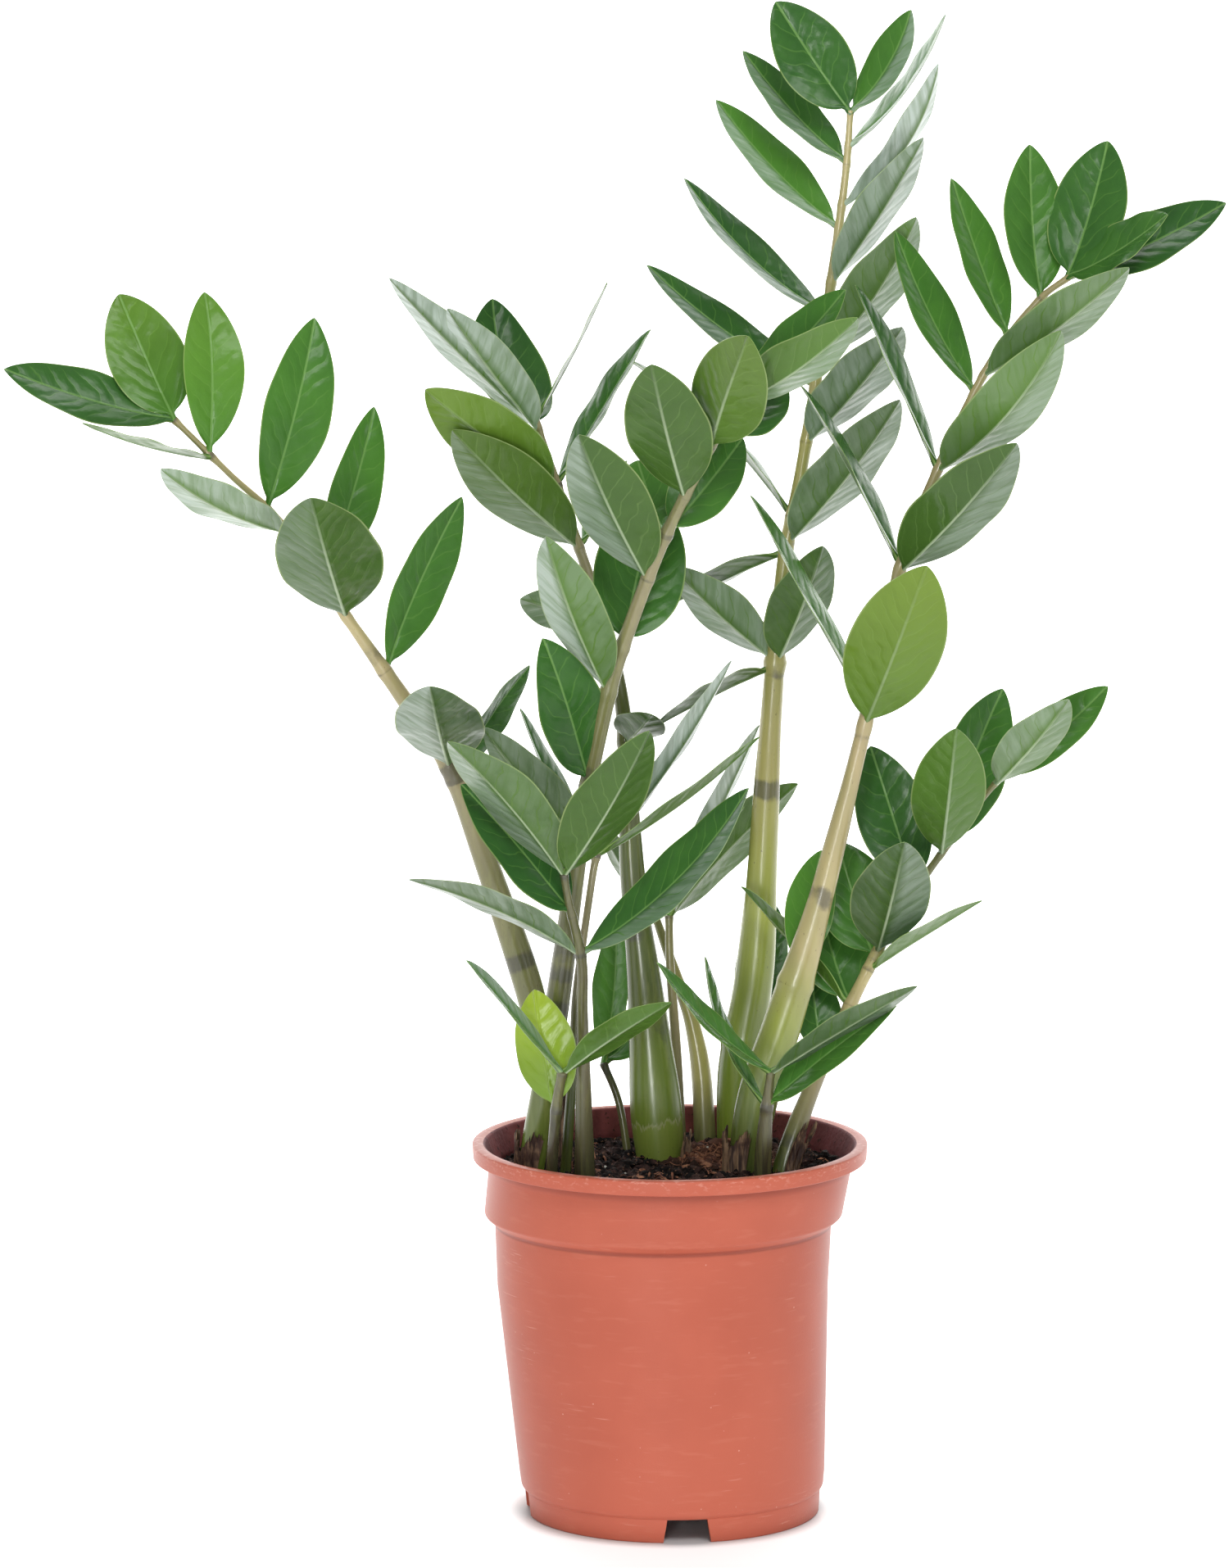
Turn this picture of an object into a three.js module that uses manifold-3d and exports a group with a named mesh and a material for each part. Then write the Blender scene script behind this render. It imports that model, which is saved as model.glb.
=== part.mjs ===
// A zz plant in a plain terracotta-coloured plastic pot, free-standing.
// Millimetres, +Z up, the front faces -Y. The origin is the middle of the whole footprint,
// on the surface that the pot stands on.
import * as THREE from "three";
import { mergeVertices } from "three/addons/utils/BufferGeometryUtils.js";
import Module from "manifold-3d";

const wasm = await Module();
wasm.setup();

// ---- Driving dimensions ----------------------------------------------------------------

// The plant leans out further on its left and front, so the pot stands off the middle.
const POT_AXIS = [23.5, 19.5];

const POT_HEIGHT = 162;
const RIM_RADIUS = 85;
const LIP_HEIGHT = 7;
const COLLAR_RADIUS = 78;
const COLLAR_BOTTOM = 131;
const BODY_TOP_RADIUS = 70.8;
const BODY_BOTTOM_RADIUS = 65.2;
const BODY_BOTTOM = 18;
const FOOT_RADIUS = 62.6;
const FOOT_HEIGHT = 10;
const WALL = 1.9;
const FLOOR_THICKNESS = 3;
const POT_SIDES = 44;

const NOTCH_COUNT = 4;
const NOTCH_TOP_WIDTH = 17;
const NOTCH_BOTTOM_WIDTH = 20.5;
const NOTCH_TURN = 5.5;
const DRAIN_COUNT = 8;
const DRAIN_RADIUS = 4.5;
const DRAIN_CIRCLE = 44;

const SOIL_LEVEL = 146;
const SOIL_BUMP = 1.6;
const ROOT_LEVEL = 124;
const GAP = 0.35;

const BLADE_THICKNESS = 0.8;
const NECK_HALF_WIDTH = 1.4;
const STALK_SIDES = 7;
const SHEATH_THICKNESS = 0.8;

// The plant is set out as it is seen from in front and a little above. "Across" and "up" are
// measured on a sheet square to that line of sight, through the pot's axis, and "depth" is how
// far a point truly lies behind the axis.
const EYE = new THREE.Vector3(-23.8, -3800, 929);
const SHEET_CENTRE = new THREE.Vector3(-23.8, 0, 317.5);
const SHEET_CENTRE_UP = 324.8;

// ---- The fronds: every stalk and leaflet, one entry each --------------------------------
// stalk:    [across, up, depth, thickness] from the soil to the tip
// leaflets: [up at the stalk, tip across, tip up, tip nearer (-) or further (+), width, turn,
//            arch, fold]; a turn of 0 shows the leaflet's top side, 180 its underside
const FRONDS = [
  {
    name: "frond_left",
    stalk: [
      [-47, 156, 24, 10.5], [-52.5, 201, 22, 12.3], [-60.5, 238, 18, 12.6], [-77, 287, 10, 10.9],
      [-93, 330, 2, 9], [-115, 363, -4, 7], [-142, 401.5, -10, 4.6], [-166.5, 436.5, -14, 3.5],
      [-188, 457, -18, 2.8], [-212, 480.5, -22, 2.5],
    ],
    leaflets: [
      [480, -284.6, 502, -10, 27, 40],
      [481, -235.5, 534, 18, 33, 8],
      [466, -199, 535, 16, 27, 20, 0.1],
      [464.5, -251, 479, -30, 27, 95, -0.04, 8],
      [443, -152, 524, 18, 31, 22, 0.06],
      [433, -217.5, 459.5, -38, 30, 122, -0.07],
      [411, -126.5, 486, 24, 25, 30, 0.04],
      [396.5, -153.5, 447, -62, 45, 168],
      [373, -89, 447.5, 18, 26, 32],
      [332.5, -102.5, 366.5, -66, 38, 165],
      [327, -60, 375.5, 20, 23, 62],
    ],
  },
  {
    name: "frond_leaning",
    stalk: [
      [-60, 156, -16, 11.5], [-53.5, 196, -20, 11.2], [-46, 247, -25, 9.8], [-37, 313, -34, 7.7],
      [-27, 362, -42, 7.4], [-16, 395.5, -50, 6], [-1.5, 432, -60, 5.2], [15, 464, -72, 3.9],
      [28, 489, -84, 2.8],
    ],
    leaflets: [
      [469, 33.5, 516, -52, 34, 165],
      [488.5, 75, 536, -6, 25, -45],
      [487, 80, 524, -30, 33, -130, -0.06],
      [474, 49, 497, 15, 31, -30],
      [447.5, -8, 504, -45, 36, 165],
      [432, 31, 472.5, 20, 27, -20],
      [430.5, -14, 463, 30, 30, 20],
      [412.5, -39, 474, -30, 36, 150],
      [383, -6, 448, 32, 40, 10],
      [364, -53, 430.5, -36, 32, 140],
      [324, -54.5, 387, -18, 31, 25, 0.05],
    ],
  },
  {
    name: "frond_thick",
    stalk: [
      [-4, 156, 24, 19], [-6.5, 191, 26, 22], [-11, 240, 28, 14.7], [-16, 285, 30, 10.9],
      [-18.5, 334, 31, 7.7], [-21, 362, 30, 6.3], [-27, 390, 28, 5.3], [-39, 426, 22, 4.5],
      [-48, 452, 15, 3.5], [-58, 482, 8, 2.5],
    ],
    leaflets: [
      [478, -120, 541, -20, 28, 125, -0.02],
      [476, -95, 528, -28, 30, 130, -0.02],
      [478, -76, 532, 40, 36, 35, -0.14],
      [481, -27, 539, 10, 26, -90, -0.02, 4],
      [452.5, -104.5, 493.5, -30, 33, 148],
      [453, -8.5, 519, 5, 26, -70, 0],
      [426, -93, 476, -34, 34, 148],
      [426, -18.5, 463, 12, 22, -70],
      [388.5, -64, 404, -20, 22, 150, 0.05],
      [343, -8, 354.5, -30, 22, -150],
    ],
  },
  {
    name: "frond_tall",
    stalk: [
      [26, 156, 50, 12.6], [29, 201, 50, 17.5], [35.5, 240, 49, 17.2], [38.5, 275, 48, 14],
      [43, 352, 45, 9.5], [48.5, 418, 42, 6.3], [55, 453, 40, 5.6], [62, 495, 36, 4.9],
      [69.5, 544, 32, 4.2], [75, 586, 30, 3.2], [77, 612.5, 28, 2.5],
    ],
    leaflets: [
      [611.5, 45, 659, 8, 31, 12],
      [611.5, 103, 655.5, 4, 22, -45, -0.1],
      [597, 117.5, 653.5, -5, 26, -78, -0.08],
      [590, 31, 638, 20, 24, 48],
      [572, 114.5, 632.5, -10, 28, -112, -0.12],
      [562, 19.5, 617, 22, 28, 52],
      [539, 108, 601, -25, 31, -125, -0.03],
      [525, 6, 583.5, 24, 27, 62, -0.06],
      [506, 105, 567, -36, 34, -135, -0.07],
      [495, -10, 546.5, 26, 23, 50, -0.05],
      [471, 99, 520, -36, 34, -132],
      [439, -19.5, 507, 16, 30, 88, 0.05],
      [428, 98, 489, -38, 36, -132],
      [424.5, -6, 399, 8, 28, 105, 0],
      [378, 1.5, 417.5, -10, 31, 130],
      [376, 65, 426.5, -32, 30, -145],
      [375.5, -7, 349, -20, 30, 98, 0.01],
      [214, 45, 273, 30, 22, 5],
    ],
  },
  {
    name: "frond_right",
    stalk: [
      [31.5, 156, -4, 14.7], [37.5, 191, -4, 17.5], [48.5, 224, -6, 16.8], [64, 275, -9, 10.9],
      [82, 345.5, -13, 6.6], [98, 416.5, -18, 4.9], [114.5, 459.5, -22, 4.2], [133.5, 499, -24, 3.5],
      [146, 518, -24, 3.2], [159, 533, -24, 2.8], [170.5, 541.5, -24, 2.5],
    ],
    leaflets: [
      [349.5, 109.5, 418, -42, 41, -170],
      [358, 34.5, 448, 10, 30, 80, -0.01],
      [415.5, 148, 470.5, -40, 38, -142],
      [418, 56, 495, 8, 28, 79, 0.01],
      [459, 167, 518.5, -36, 36, -136, -0.1],
      [459, 79, 538, 6, 27, 76, 0],
      [492, 96, 561, 16, 26, 50],
      [499.5, 196, 545.5, -34, 31, -132],
      [515.5, 120, 583.5, 16, 24, 44, -0.01],
      [532, 153.5, 598, 18, 29, 25],
      [541, 187, 599.5, 16, 33, -20, -0.06],
      [541, 212.5, 568, -18, 28, -55],
      [541, 237.5, 573, 2, 28, -38, -0.04],
      [240, 64.5, 296.5, 26, 22, 15],
    ],
  },
  {
    name: "frond_low_right",
    stalk: [
      [47.5, 154, -5, 9.8], [53, 175, -2, 9.1], [65, 205, 5, 6.6], [82, 240.5, 14, 5.2],
      [97, 268, 20, 4.2], [115, 294, 24, 3.2], [133.5, 318.5, 26, 2.4], [141.5, 328, 27, 2.1],
    ],
    leaflets: [
      [327, 187, 366.5, 10, 24, -35],
      [325, 170, 361, -35, 27, -140],
      [300, 142, 365.5, 24, 33, 30, -0.06],
      [295, 122, 348.5, -50, 32, -172],
      [280, 85.5, 341, 14, 31, 0],
      [253, 100, 300, -48, 34, -168],
      [250, 71.5, 300, 22, 34, 10],
      [245.5, 133, 275, -20, 24, -100, 0],
      [230, 64, 272, 24, 32, 20],
      [230, 30.5, 281, 18, 22, 103, 0],
      [206, 60, 247.5, 20, 22, 20],
    ],
  },
  {
    name: "sprout_right",
    stalk: [[39.5, 154, -36, 7.7], [40, 170, -38, 7], [41, 184, -40, 5.3], [43, 202, -44, 3.2]],
    leaflets: [
      [201.5, -5.5, 248.5, -30, 18, 65, -0.05],
      [187, 15, 251, 10, 22, 75, -0.09],
      [201.5, 105.5, 238.5, -32, 19, -122, 0],
      [187, 96.5, 230, -20, 27, -50, 0.03],
    ],
  },
  {
    name: "frond_low_front",
    stalk: [
      [-36.5, 154, -28, 9.5], [-37, 187, -32, 7], [-37.5, 226, -40, 4.9], [-38, 250, -46, 4.5],
      [-43.5, 275, -54, 3.5], [-45.5, 286.5, -58, 3.2],
    ],
    leaflets: [
      [286, -95, 343, -34, 34, 132, 0.03],
      [286, -9, 347.5, -30, 35, -140],
      [268.5, -89.5, 324.5, -4, 35, 40, 0.03],
      [252, -111.5, 284, -30, 26, 114, 0.04],
      [252, 33.5, 323, -22, 29, -48, -0.08],
    ],
  },
  {
    name: "sprout_left",
    stalk: [[-51, 154, -42, 5.2], [-48.5, 187, -48, 4.5], [-46, 202, -53, 3.9]],
    leaflets: [
      [201, -87, 249.5, -30, 18, 74, 0],
      [201, 0.5, 231.5, -26, 19, -130, 0.02],
      [185, -58, 237, 6, 28, 155],
    ],
  },
  {
    name: "sprout_back",
    stalk: [[-17, 156, 36, 3.9], [-21.5, 187, 39, 3.2], [-28.5, 205.5, 42, 3.2]],
    leaflets: [
      [205, -23, 267, 10, 22, -45],
      [205, -9, 226, 10, 20, -40],
    ],
  },
  {
    name: "frond_thin_left",
    stalk: [
      [-45, 154, -10, 4.9], [-41.5, 205, -8, 3.9], [-40, 236, -7, 3.5], [-34, 280, -5, 3.2],
      [-31.5, 295, -4, 3.2],
    ],
    leaflets: [
      [294.5, 38, 345, 4, 24, -95],
      [294.5, 26, 377.5, 8, 26, -108],
      [294.5, -80, 349, -2, 26, 140],
      [294.5, -68, 340, 8, 20, 140],
      [294, -64, 357, 16, 24, 75],
    ],
  },
  {
    name: "frond_thin_right",
    stalk: [[5, 156, 40, 4.9], [3, 205, 46, 4.4], [0, 247, 52, 3.9], [-0.5, 268.5, 55, 3.4]],
    leaflets: [
      [268, 38, 350, 10, 24, -108, 0],
      [268, 31.5, 315, -4, 24, -75, 0.02],
      [268, 54.5, 325, 22, 32, -130, 0.03],
    ],
  },
  {
    name: "frond_hidden",
    stalk: [
      [15.5, 156, 60, 9.8], [13.5, 198, 62, 9.1], [9.5, 222, 64, 6.6], [3.5, 240, 67, 5.3],
      [-8, 273, 73, 3.2],
    ],
    leaflets: [[271, -29, 306, 10, 22, 120]],
  },
];

// Dry papery sheaths at stalk bases: [name, stalk, middle bearing, half spread, top height]
const SHEATHS = [
  ["sheath_left", "frond_leaning", 215, 75, 168],
  ["sheath_front", "frond_left", 275, 55, 190],
  ["sheath_middle", "frond_thick", 345, 26, 158],
  ["sheath_right", "frond_right", 220, 50, 166],
  ["sheath_low_right", "frond_low_right", 320, 50, 167],
];

// ---- Helpers ----------------------------------------------------------------------------

const radians = (degrees) => THREE.MathUtils.degToRad(degrees);

// The true place of a point that is seen at (across, up) and lies at the given depth.
function placed(across, up, depth) {
  const sightDown = Math.atan2(EYE.z - SHEET_CENTRE.z, SHEET_CENTRE.y - EYE.y);
  const upright = new THREE.Vector3(0, Math.sin(sightDown), Math.cos(sightDown));
  const onSheet = SHEET_CENTRE.clone();
  onSheet.x += across - SHEET_CENTRE.x;
  onSheet.addScaledVector(upright, up - SHEET_CENTRE_UP);
  const stretch = (depth - EYE.y) / (onSheet.y - EYE.y);
  return EYE.clone().addScaledVector(onSheet.sub(EYE), stretch);
}

// A closed solid through rings of equal count, each ring turning the same way about the path.
// mirrored: the ring places whose squares are split along the other diagonal.
function loft(rings, mirrored = []) {
  const count = rings[0].length;
  const points = rings.flat();
  const index = [];
  for (let i = 0; i + 1 < rings.length; i += 1) {
    for (let j = 0; j < count; j += 1) {
      const next = (j + 1) % count;
      const [a, b] = [i * count + j, i * count + next];
      const [c, d] = [a + count, b + count];
      if (mirrored.includes(j)) index.push(a, b, c, b, d, c);
      else index.push(a, b, d, a, d, c);
    }
  }
  const last = (rings.length - 1) * count;
  for (let j = 1; j + 1 < count; j += 1) {
    index.push(0, j + 1, j);
    index.push(last, last + j, last + j + 1);
  }
  const geometry = new THREE.BufferGeometry();
  geometry.setAttribute("position", new THREE.Float32BufferAttribute(points.flatMap((p) => p.toArray()), 3));
  geometry.setIndex(index);
  return geometry;
}

function toManifold(geometry) {
  const bare = geometry.clone();
  bare.deleteAttribute("normal");
  bare.deleteAttribute("uv");
  const merged = mergeVertices(bare);
  return new wasm.Manifold(new wasm.Mesh({
    numProp: 3,
    vertProperties: new Float32Array(merged.attributes.position.array),
    triVerts: new Uint32Array(merged.index.array),
  }));
}

function toGeometry(solid) {
  const mesh = solid.getMesh();
  const geometry = new THREE.BufferGeometry();
  geometry.setAttribute("position", new THREE.BufferAttribute(mesh.vertProperties, 3));
  geometry.setIndex(new THREE.BufferAttribute(mesh.triVerts, 1));
  return geometry;
}

// ---- Stalks -----------------------------------------------------------------------------

// A stalk's centre line and thickness at a few even steps, from its root in the soil upward.
function stalkLine(frond) {
  const knots = frond.stalk.map(([across, up, depth]) => placed(across, up, depth));
  const foot = knots[0].clone().setZ(ROOT_LEVEL);
  const curve = new THREE.CatmullRomCurve3([foot, ...knots], false, "centripetal");
  const widths = [frond.stalk[0][3], ...frond.stalk.map((knot) => knot[3])];
  const steps = widths.length - 1;
  const line = [];
  for (let i = 0; i <= steps; i += 1) {
    const along = i / steps;
    const place = along * (widths.length - 1);
    const low = Math.min(Math.floor(place), widths.length - 2);
    const width = THREE.MathUtils.lerp(widths[low], widths[low + 1], place - low);
    line.push({
      point: curve.getPoint(along),
      direction: curve.getTangent(along),
      radius: width / 2,
      up: i === 0 ? -Infinity : upAt(frond, place - 1),
    });
  }
  return line;
}

// The "up" reading of the stalk at a fractional knot number.
function upAt(frond, knot) {
  const low = Math.min(Math.max(Math.floor(knot), 0), frond.stalk.length - 2);
  return THREE.MathUtils.lerp(frond.stalk[low][1], frond.stalk[low + 1][1], knot - low);
}

function stalkSolid(line, extra = 0) {
  const rings = line.map(({ point, direction, radius }) => {
    const right = new THREE.Vector3(1, 0, 0).addScaledVector(direction, -direction.x).normalize();
    const back = new THREE.Vector3().crossVectors(direction, right);
    const ring = [];
    for (let k = 0; k < STALK_SIDES; k += 1) {
      const angle = (2 * Math.PI * k) / STALK_SIDES;
      ring.push(point.clone()
        .addScaledVector(right, Math.cos(angle) * (radius + extra))
        .addScaledVector(back, Math.sin(angle) * (radius + extra)));
    }
    return ring;
  });
  return toManifold(loft(rings));
}

// Where a leaflet leaves the stalk: the centre line at its "up" reading.
function stalkAt(line, up) {
  let i = 0;
  while (i + 2 < line.length && line[i + 1].up < up) i += 1;
  const [low, high] = [line[i], line[i + 1]];
  const share = THREE.MathUtils.clamp((up - low.up) / (high.up - low.up), 0, 1);
  return {
    point: low.point.clone().lerp(high.point, share),
    radius: THREE.MathUtils.lerp(low.radius, high.radius, share),
  };
}

// ---- Leaflets ---------------------------------------------------------------------------

const BLADE_STATIONS = [0, 0.1, 0.3, 0.55, 0.8, 1];

// These ring places make both faces of a blade split alike, and both halves mirror each other.
const UNDERSIDE_MIRROR = [2, 5];

// One leaflet: a narrow neck inside the stalk, then a pointed oval blade, arched along its
// length and folded up along its midrib, of an even thickness. A blade that is broad for its
// length is blunter at both ends, and widest nearer its middle.
function leafletSolid(line, [up, tipAcross, tipUp, nearer, width, turn, arch = -0.04, fold = 15]) {
  const { point: base, radius } = stalkAt(line, up);
  const tip = placed(tipAcross, tipUp, base.y + nearer);
  const chord = tip.clone().sub(base);
  const length = chord.length();
  const along = chord.clone().normalize();
  const toEye = EYE.clone().sub(base).normalize();
  const facing = toEye.addScaledVector(along, -toEye.dot(along)).normalize();
  const sideways = new THREE.Vector3().crossVectors(along, facing);
  const top = facing.clone().multiplyScalar(Math.cos(radians(turn)))
    .addScaledVector(sideways, Math.sin(radians(turn)));
  const side = new THREE.Vector3().crossVectors(along, top);
  const slope = Math.tan(radians(fold));
  const neck = (radius + 2) / length;
  const fullness = THREE.MathUtils.clamp((width / length - 0.38) / 0.2, 0, 1);
  const low = 0.72 - 0.16 * fullness;
  const high = 0.8 - 0.08 * fullness;
  const widest = low / (low + high);
  const rings = BLADE_STATIONS.map((station) => {
    const t = station * (1 + neck * 0.25) - neck * 0.25;
    const blade = THREE.MathUtils.clamp((t - neck) / (1 - neck), 0, 1);
    const swell = (blade / widest) ** low * ((1 - blade) / (1 - widest)) ** high;
    const half = Math.max((width / 2) * swell, station < 1 ? NECK_HALF_WIDTH : 0.5);
    const rise = arch * length * 4 * Math.max(t, 0) * (1 - t);
    const centre = base.clone().addScaledVector(along, t * length).addScaledVector(top, rise);
    const edge = half * slope * 0.8;
    const corner = (share, height) => centre.clone()
      .addScaledVector(side, half * share)
      .addScaledVector(top, edge * Math.abs(share) + height);
    const lift = BLADE_THICKNESS / 2;
    return [
      corner(0, lift), corner(1, lift), corner(1, -lift),
      corner(0, -lift), corner(-1, -lift), corner(-1, lift),
    ];
  });
  return toManifold(loft(rings, UNDERSIDE_MIRROR));
}

function frondGeometry(frond) {
  const line = stalkLine(frond);
  const solids = frond.leaflets.map((leaflet) => leafletSolid(line, leaflet));
  return toGeometry(wasm.Manifold.union([stalkSolid(line), ...solids]));
}

// ---- Dry sheaths ------------------------------------------------------------------------

// A torn strip of papery sheath that stands just clear of its stalk, part of the way round:
// an upright strip section carried round the stalk, with an uneven top.
function sheathGeometry([, owner, bearing, spread, topHeight]) {
  const frond = FRONDS.find(({ name }) => name === owner);
  const line = stalkLine(frond);
  const beside = line.filter(({ point }) => point.z < topHeight + 14);
  const inner = Math.max(...beside.map((step) => step.radius)) * 1.1 + 0.8;
  const steps = 8;
  const rings = [];
  for (let k = 0; k <= steps; k += 1) {
    const share = k / steps;
    const angle = radians(bearing - spread + 2 * spread * share);
    const top = topHeight + 5 * Math.sin(share * 9) - 6 * Math.abs(share - 0.5);
    const edge = (height, reach) => centreAtHeight(line, height)
      .add(new THREE.Vector3(Math.cos(angle) * reach, Math.sin(angle) * reach, 0))
      .setZ(height);
    const bottom = SOIL_LEVEL + SOIL_BUMP + GAP;
    rings.push([
      edge(top, inner + 1),
      edge(top, inner + 1 + SHEATH_THICKNESS),
      edge(bottom, inner + SHEATH_THICKNESS),
      edge(bottom, inner),
    ]);
  }
  return loft(rings);
}

function centreAtHeight(line, height) {
  let i = 0;
  while (i + 2 < line.length && line[i + 1].point.z < height) i += 1;
  const [low, high] = [line[i].point, line[i + 1].point];
  const share = (height - low.z) / (high.z - low.z);
  return low.clone().lerp(high, share);
}

// ---- Pot and soil -----------------------------------------------------------------------

// A turned solid about Z from a profile of [radius, height] that starts and ends on the axis.
function turned(profile) {
  const points = profile.map(([radius, height]) => new THREE.Vector2(radius, height));
  const geometry = new THREE.LatheGeometry(points, POT_SIDES);
  geometry.rotateX(Math.PI / 2);
  return toManifold(geometry);
}

function potGeometry() {
  const lipBottom = POT_HEIGHT - LIP_HEIGHT;
  const floorTop = FOOT_HEIGHT + FLOOR_THICKNESS;
  const profile = [
    [0, FOOT_HEIGHT],
    [FOOT_RADIUS - WALL, FOOT_HEIGHT],
    [FOOT_RADIUS - WALL, 0],
    [FOOT_RADIUS, 0],
    [FOOT_RADIUS + 0.6, FOOT_HEIGHT],
    [BODY_BOTTOM_RADIUS - 1, FOOT_HEIGHT + 2],
    [BODY_BOTTOM_RADIUS, BODY_BOTTOM],
    [BODY_TOP_RADIUS - 0.4, 100],
    [BODY_TOP_RADIUS, COLLAR_BOTTOM - 4],
    [COLLAR_RADIUS - 2.4, COLLAR_BOTTOM],
    [COLLAR_RADIUS, lipBottom - 4],
    [COLLAR_RADIUS + 0.4, lipBottom],
    [RIM_RADIUS - 0.8, lipBottom],
    [RIM_RADIUS, lipBottom + 1.5],
    [RIM_RADIUS, POT_HEIGHT - 1.5],
    [RIM_RADIUS - 1.2, POT_HEIGHT],
    [RIM_RADIUS - 4.5, POT_HEIGHT],
    [RIM_RADIUS - 5.5, POT_HEIGHT - 1.5],
    [COLLAR_RADIUS - WALL, lipBottom - 4],
    [COLLAR_RADIUS - 2.4 - WALL, COLLAR_BOTTOM + 1.2],
    [BODY_TOP_RADIUS - WALL, COLLAR_BOTTOM - 2.8],
    [BODY_TOP_RADIUS - 0.4 - WALL, 100],
    [BODY_BOTTOM_RADIUS - WALL, BODY_BOTTOM],
    [BODY_BOTTOM_RADIUS - WALL - 2, floorTop],
    [0, floorTop],
  ];
  const cuts = [];
  for (let i = 0; i < NOTCH_COUNT; i += 1) {
    cuts.push(toManifold(notchGeometry(i)));
  }
  for (let i = 0; i < DRAIN_COUNT; i += 1) {
    cuts.push(toManifold(drainGeometry(i)));
  }
  return toGeometry(turned(profile).subtract(wasm.Manifold.union(cuts)));
}

// The wedge that cuts one drainage notch through the foot ring, wider at the bottom.
function notchGeometry(number) {
  const shape = new THREE.Shape();
  shape.moveTo(-NOTCH_BOTTOM_WIDTH / 2, -1);
  shape.lineTo(NOTCH_BOTTOM_WIDTH / 2, -1);
  shape.lineTo(NOTCH_TOP_WIDTH / 2, FOOT_HEIGHT);
  shape.lineTo(-NOTCH_TOP_WIDTH / 2, FOOT_HEIGHT);
  shape.closePath();
  const reach = 16;
  const geometry = new THREE.ExtrudeGeometry(shape, { depth: reach, bevelEnabled: false });
  geometry.rotateX(Math.PI / 2);
  geometry.translate(0, -(FOOT_RADIUS - reach / 2), 0);
  geometry.rotateZ(radians(NOTCH_TURN + (360 / NOTCH_COUNT) * number));
  return geometry;
}

// The round cutter for one drain hole in the pot's floor.
function drainGeometry(number) {
  const geometry = new THREE.CylinderGeometry(DRAIN_RADIUS, DRAIN_RADIUS, FLOOR_THICKNESS + 2, 8);
  geometry.rotateX(Math.PI / 2);
  const bearing = radians(NOTCH_TURN + (360 / DRAIN_COUNT) * (number + 0.5));
  const height = FOOT_HEIGHT + FLOOR_THICKNESS / 2;
  geometry.translate(DRAIN_CIRCLE * Math.cos(bearing), DRAIN_CIRCLE * Math.sin(bearing), height);
  return geometry;
}

// How far the soil's top stands above or below its mean level at a place.
function soilBump(x, y) {
  return SOIL_BUMP * (0.6 * Math.sin(x / 9 + 1) * Math.cos(y / 11) + 0.4 * Math.sin(x / 5 - y / 6));
}

function soilGeometry(lines) {
  const wallGap = WALL + GAP;
  const profile = [
    [0, FOOT_HEIGHT + FLOOR_THICKNESS + GAP],
    [BODY_BOTTOM_RADIUS - wallGap - 2.1, FOOT_HEIGHT + FLOOR_THICKNESS + GAP],
    [BODY_BOTTOM_RADIUS - wallGap, BODY_BOTTOM],
    [BODY_TOP_RADIUS - 0.4 - wallGap, 100],
    [BODY_TOP_RADIUS - wallGap, COLLAR_BOTTOM - 2.4],
    [COLLAR_RADIUS - 2.4 - wallGap, COLLAR_BOTTOM + 1.6],
    [COLLAR_RADIUS - 1.6 - wallGap, SOIL_LEVEL - 1],
  ];
  for (let ring = 4; ring >= 0; ring -= 1) {
    profile.push([ring * 15, SOIL_LEVEL]);
  }
  const points = profile.map(([radius, height]) => new THREE.Vector2(radius, height));
  const geometry = new THREE.LatheGeometry(points, POT_SIDES);
  geometry.rotateX(Math.PI / 2);
  const position = geometry.attributes.position;
  for (let i = 0; i < position.count; i += 1) {
    if (position.getZ(i) === SOIL_LEVEL) {
      position.setZ(i, SOIL_LEVEL + soilBump(position.getX(i), position.getY(i)));
    }
  }
  const holes = lines.map((line) => stalkSolid(line.slice(0, 3), GAP));
  return toGeometry(toManifold(geometry).subtract(wasm.Manifold.union(holes)));
}

// ---- Assembly ---------------------------------------------------------------------------

const TERRACOTTA = { color: 0xc8654a, roughness: 0.5, metalness: 0 };
const SOIL_BROWN = { color: 0x33241c, roughness: 0.95, metalness: 0 };
const LEAF_GREEN = { color: 0x3b7a2e, roughness: 0.35, metalness: 0 };
const DRY_BROWN = { color: 0x8a6444, roughness: 0.85, metalness: 0 };

const plant = new THREE.Group();
plant.position.set(POT_AXIS[0], POT_AXIS[1], 0);

function addPiece(name, geometry, finish) {
  geometry.computeVertexNormals();
  const mesh = new THREE.Mesh(geometry, new THREE.MeshStandardMaterial(finish));
  mesh.name = name;
  plant.add(mesh);
}

addPiece("pot", potGeometry(), TERRACOTTA);
addPiece("soil", soilGeometry(FRONDS.map(stalkLine)), SOIL_BROWN);
for (const frond of FRONDS) {
  addPiece(frond.name, frondGeometry(frond), LEAF_GREEN);
}
for (const sheath of SHEATHS) {
  addPiece(sheath[0], sheathGeometry(sheath), DRY_BROWN);
}

const part = new THREE.Group();
part.add(plant);
export default part;
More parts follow.
